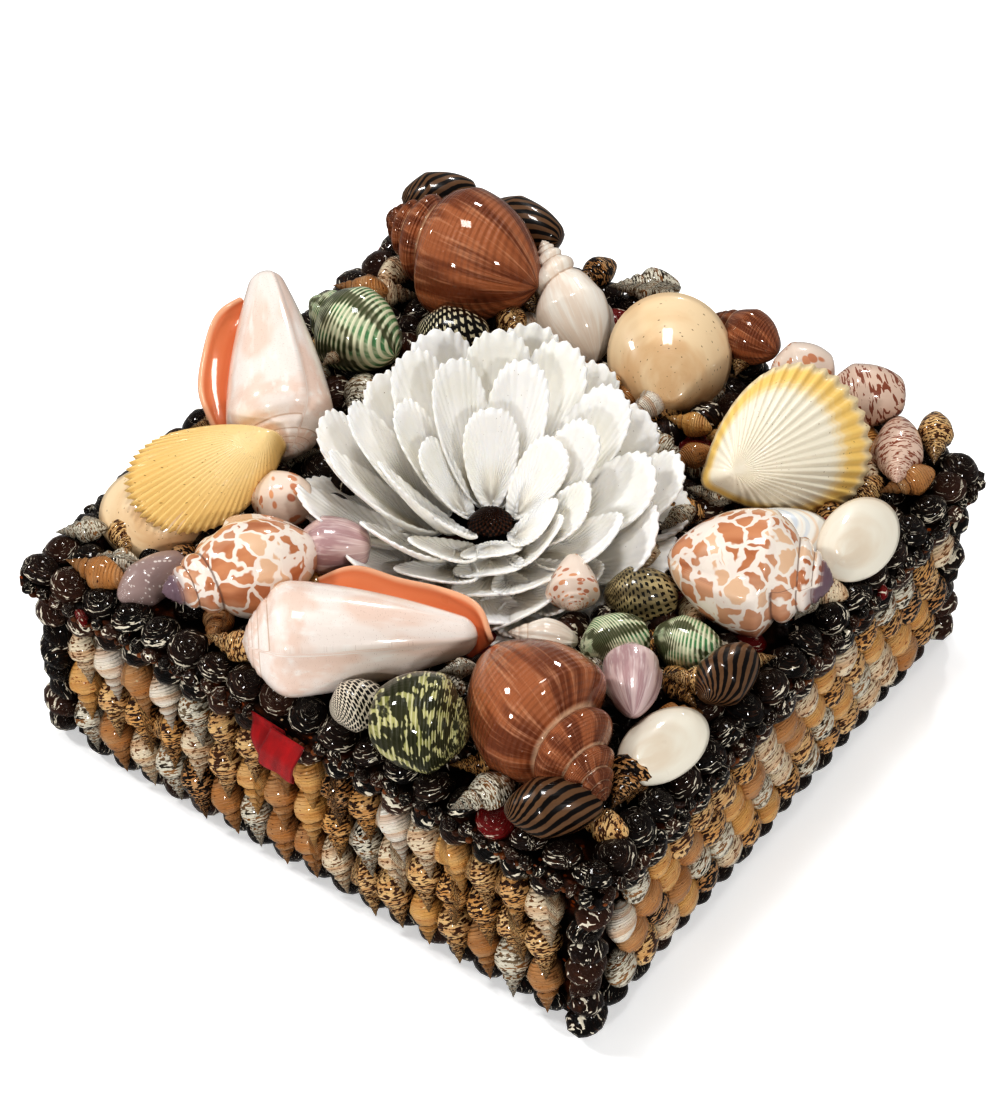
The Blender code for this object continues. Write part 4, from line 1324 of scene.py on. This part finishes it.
# %% Named fillers
MIXED_TONE = {"orange": 0.08, "brown": 0.2, "flecked": 0.35, "tan": 0.5, "cream": 0.65, "white": 0.78, "black": 0.88,
              "banded": 0.96}
LITTLE = [
    # x, y, height, length, heading, tone
    (52, -84, 8, 17, 69, "black"), (-27, -80, 7, 14, 16, "flecked"), (-71, -80, 6, 16, 8, "brown"),
    (-83, -71, 6, 12, 40, "black"), (77, -59, 7, 19, 102, "banded"), (73, -24, 9, 14, 32, "flecked"),
    (27, -60, 15, 9, 60, "black"), (40, 33, 8, 12, 20, "black"),
    (38, 20, 8, 11, 70, "black"), (9, 49, 9, 13, 71, "white"), (21, 51, 8, 12, 10, "orange"),
    (28, 40, 8, 13, 50, "brown"), (-61, -13, 8, 12, 130, "cream"), (-66, 17, 12, 16, 91, "cream"),
    (-54, 8, 8, 17, 106, "black"), (-80, 43, 7, 14, 30, "brown"), (18, 82, 9, 19, 112, "flecked"),
    (-18, 88, 8, 18, 42, "black"), (-32, 84, 8, 15, 80, "banded"), (76, 84, 8, 17, 120, "flecked"),
    (78, 67, 7, 15, 65, "brown"), (-37, 54, 9, 15, 150, "flecked"), (-8, 48, 10, 15, 30, "tan"),
    (-52, 83, 9, 14, 70, "flecked"), (80, 15, 7, 12, 100, "black"), (-80, -20, 6, 13, 60, "flecked"),
]
little = []
for x, y, height, length, heading, tone in LITTLE:
    lie = Matrix.Rotation(math.radians(heading - 90), 4, "Z")
    little.append((SPINDLE, on_lid(x, y, height) @ lie @ turned(jitter(10), jitter(180), 0, length / 17.0),
                   MIXED_TONE[tone]))
copies("little_named_shells", little, "small_mixed", "mottled_shell")
print("named fillers", len(little))

# %% Scatter over the free ground
PITCH = 8.2
ROWS = range(-10, 11)
FLOWER_REACH = 37
LARGE = [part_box(label) for label, *rest in SNAILS + HALVES]


def covered(x, y):
    """Whether a large shell stands over a place: an oval inside its box."""
    for low, high in LARGE:
        across = (x * MM - (low.x + high.x) / 2) / ((high.x - low.x) * 0.42)
        along = (y * MM - (low.y + high.y) / 2) / ((high.y - low.y) * 0.42)
        if across * across + along * along < 0.55:
            return True
    return False


dark, mixed = [], []
random.seed(23)
for i in ROWS:
    for j in ROWS:
        x = (i + (0.5 if j % 2 else 0.0)) * PITCH + jitter(1.4)
        y = j * PITCH + jitter(1.4)
        near_flower = math.hypot(x - FLOWER[0], y - FLOWER[1]) < FLOWER_REACH
        if abs(x) > 80 or abs(y) > 79 or near_flower or covered(x, y):
            continue
        if random.random() < 0.62:
            source = BUTTON if random.random() < 0.6 else NERITE
            dark.append((source, on_lid(x, y, 3.4 + jitter(1.0)) @ turned(jitter(25), jitter(25), jitter(180)),
                         random.random()))
        else:
            mixed.append((SPINDLE, on_lid(x, y, 4.4 + jitter(1.0))
                          @ Matrix.Rotation(jitter(math.pi), 4, "Z") @ turned(jitter(12), jitter(180), 0, 0.85),
                          random.random()))
copies("dark_fillers", dark, "small_dark", "dark_nerite")
copies("mixed_fillers", mixed, "small_mixed", "mottled_shell")
print("scatter", len(dark), "dark and", len(mixed), "mixed")

# %% [markdown]
# ## The ribbon tab
# A short ribbon, folded over at the bottom, hangs from the lid's front edge and is what the lid is lifted
# by. It is one strip of cloth: down at the back, round the fold, and up at the front. The two halves are
# askew, so the back one shows at the left. The weave is a fine grid of threads in the strip's own UV map.

# %% Ribbon tab
RIBBON_WIDTH = 10.3
RIBBON_DROP = 13.2
TAB_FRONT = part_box("pull_tab")[0].y / MM
LID_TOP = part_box("lid_board")[1].z / MM


def ribbon_path(u, v):
    """v runs down the back half, round the fold and up the front half."""
    down = np.clip(v / 0.47, 0, 1)
    rise = np.clip((v - 0.53) / 0.47, 0, 1)
    fold = np.clip((v - 0.47) / 0.06, 0, 1)
    drop = np.where(v < 0.5, down, 1 - rise) * RIBBON_DROP
    askew = np.where(v < 0.5, -4.6 * (1 - down), 2.6 * rise)
    x = -3.6 + (u - 0.5) * RIBBON_WIDTH + askew - 0.9
    bulge = 0.9 * np.sin(np.pi * np.clip(drop / RIBBON_DROP, 0, 1)) + 2.2 * ramp(drop, 1.5, 6.0)
    ripple = 0.25 * np.sin(3 * np.pi * u) * ramp(drop, 2, 12)
    y = TAB_FRONT + 3.7 - bulge - 1.5 * ramp(v, 0.42, 0.58) - ripple
    z = LID_TOP - 1.2 - drop - 0.5 * np.sin(np.pi * fold) - 0.9 * (u - 0.5)
    return x * MM, y * MM, z * MM


tab = grid_piece("ribbon_tab", 16, 48, ribbon_path)
change(tab, "SOLIDIFY", thickness=0.0003, offset=0.0)
bpy.ops.object.shade_smooth()

ribbon = bpy.data.materials.new("red ribbon")
ribbon.use_nodes = True
x, y = split(node("ShaderNodeUVMap", tree=ribbon.node_tree, uv_map="coil").outputs["UV"])
weft = maths("SINE", times(x, 2 * math.pi * 34))
warp = maths("SINE", times(y, 2 * math.pi * 80))
weave = times(weft, warp)
cloud = noise(joined(x, y), 5.0)
cloth = blend(soft_step(plus(times(weave, 0.3), cloud), 0.2, 0.9), rgb(0.4, 0.006, 0.014), rgb(0.7, 0.02, 0.035))
selvage = soft_step(maths("ABSOLUTE", minus(x, 0.5)), 0.44, 0.47)
colour = blend(times(selvage, 0.35), cloth, rgb(0.2, 0.004, 0.008))
bump = node("ShaderNodeBump", {"Strength": 0.5, "Distance": 0.00015, "Height": weave}).outputs["Normal"]
fill(ribbon.node_tree.nodes["Principled BSDF"], {
    "Base Color": colour, "Normal": bump, "Roughness": plus(0.62, times(cloud, 0.2)), "Sheen Weight": 0.08})
FINISH["ribbon"] = ribbon
dress(tab, "ribbon", "red_ribbon", "pull_tab")

# %% [markdown]
# ## End
# The small shells that the copies were made from are removed. The finished look may go past the box
# of the solids by a few millimetres and no more.

# %% Remove the small masters
for source in MASTERS:
    bpy.data.objects.remove(source)
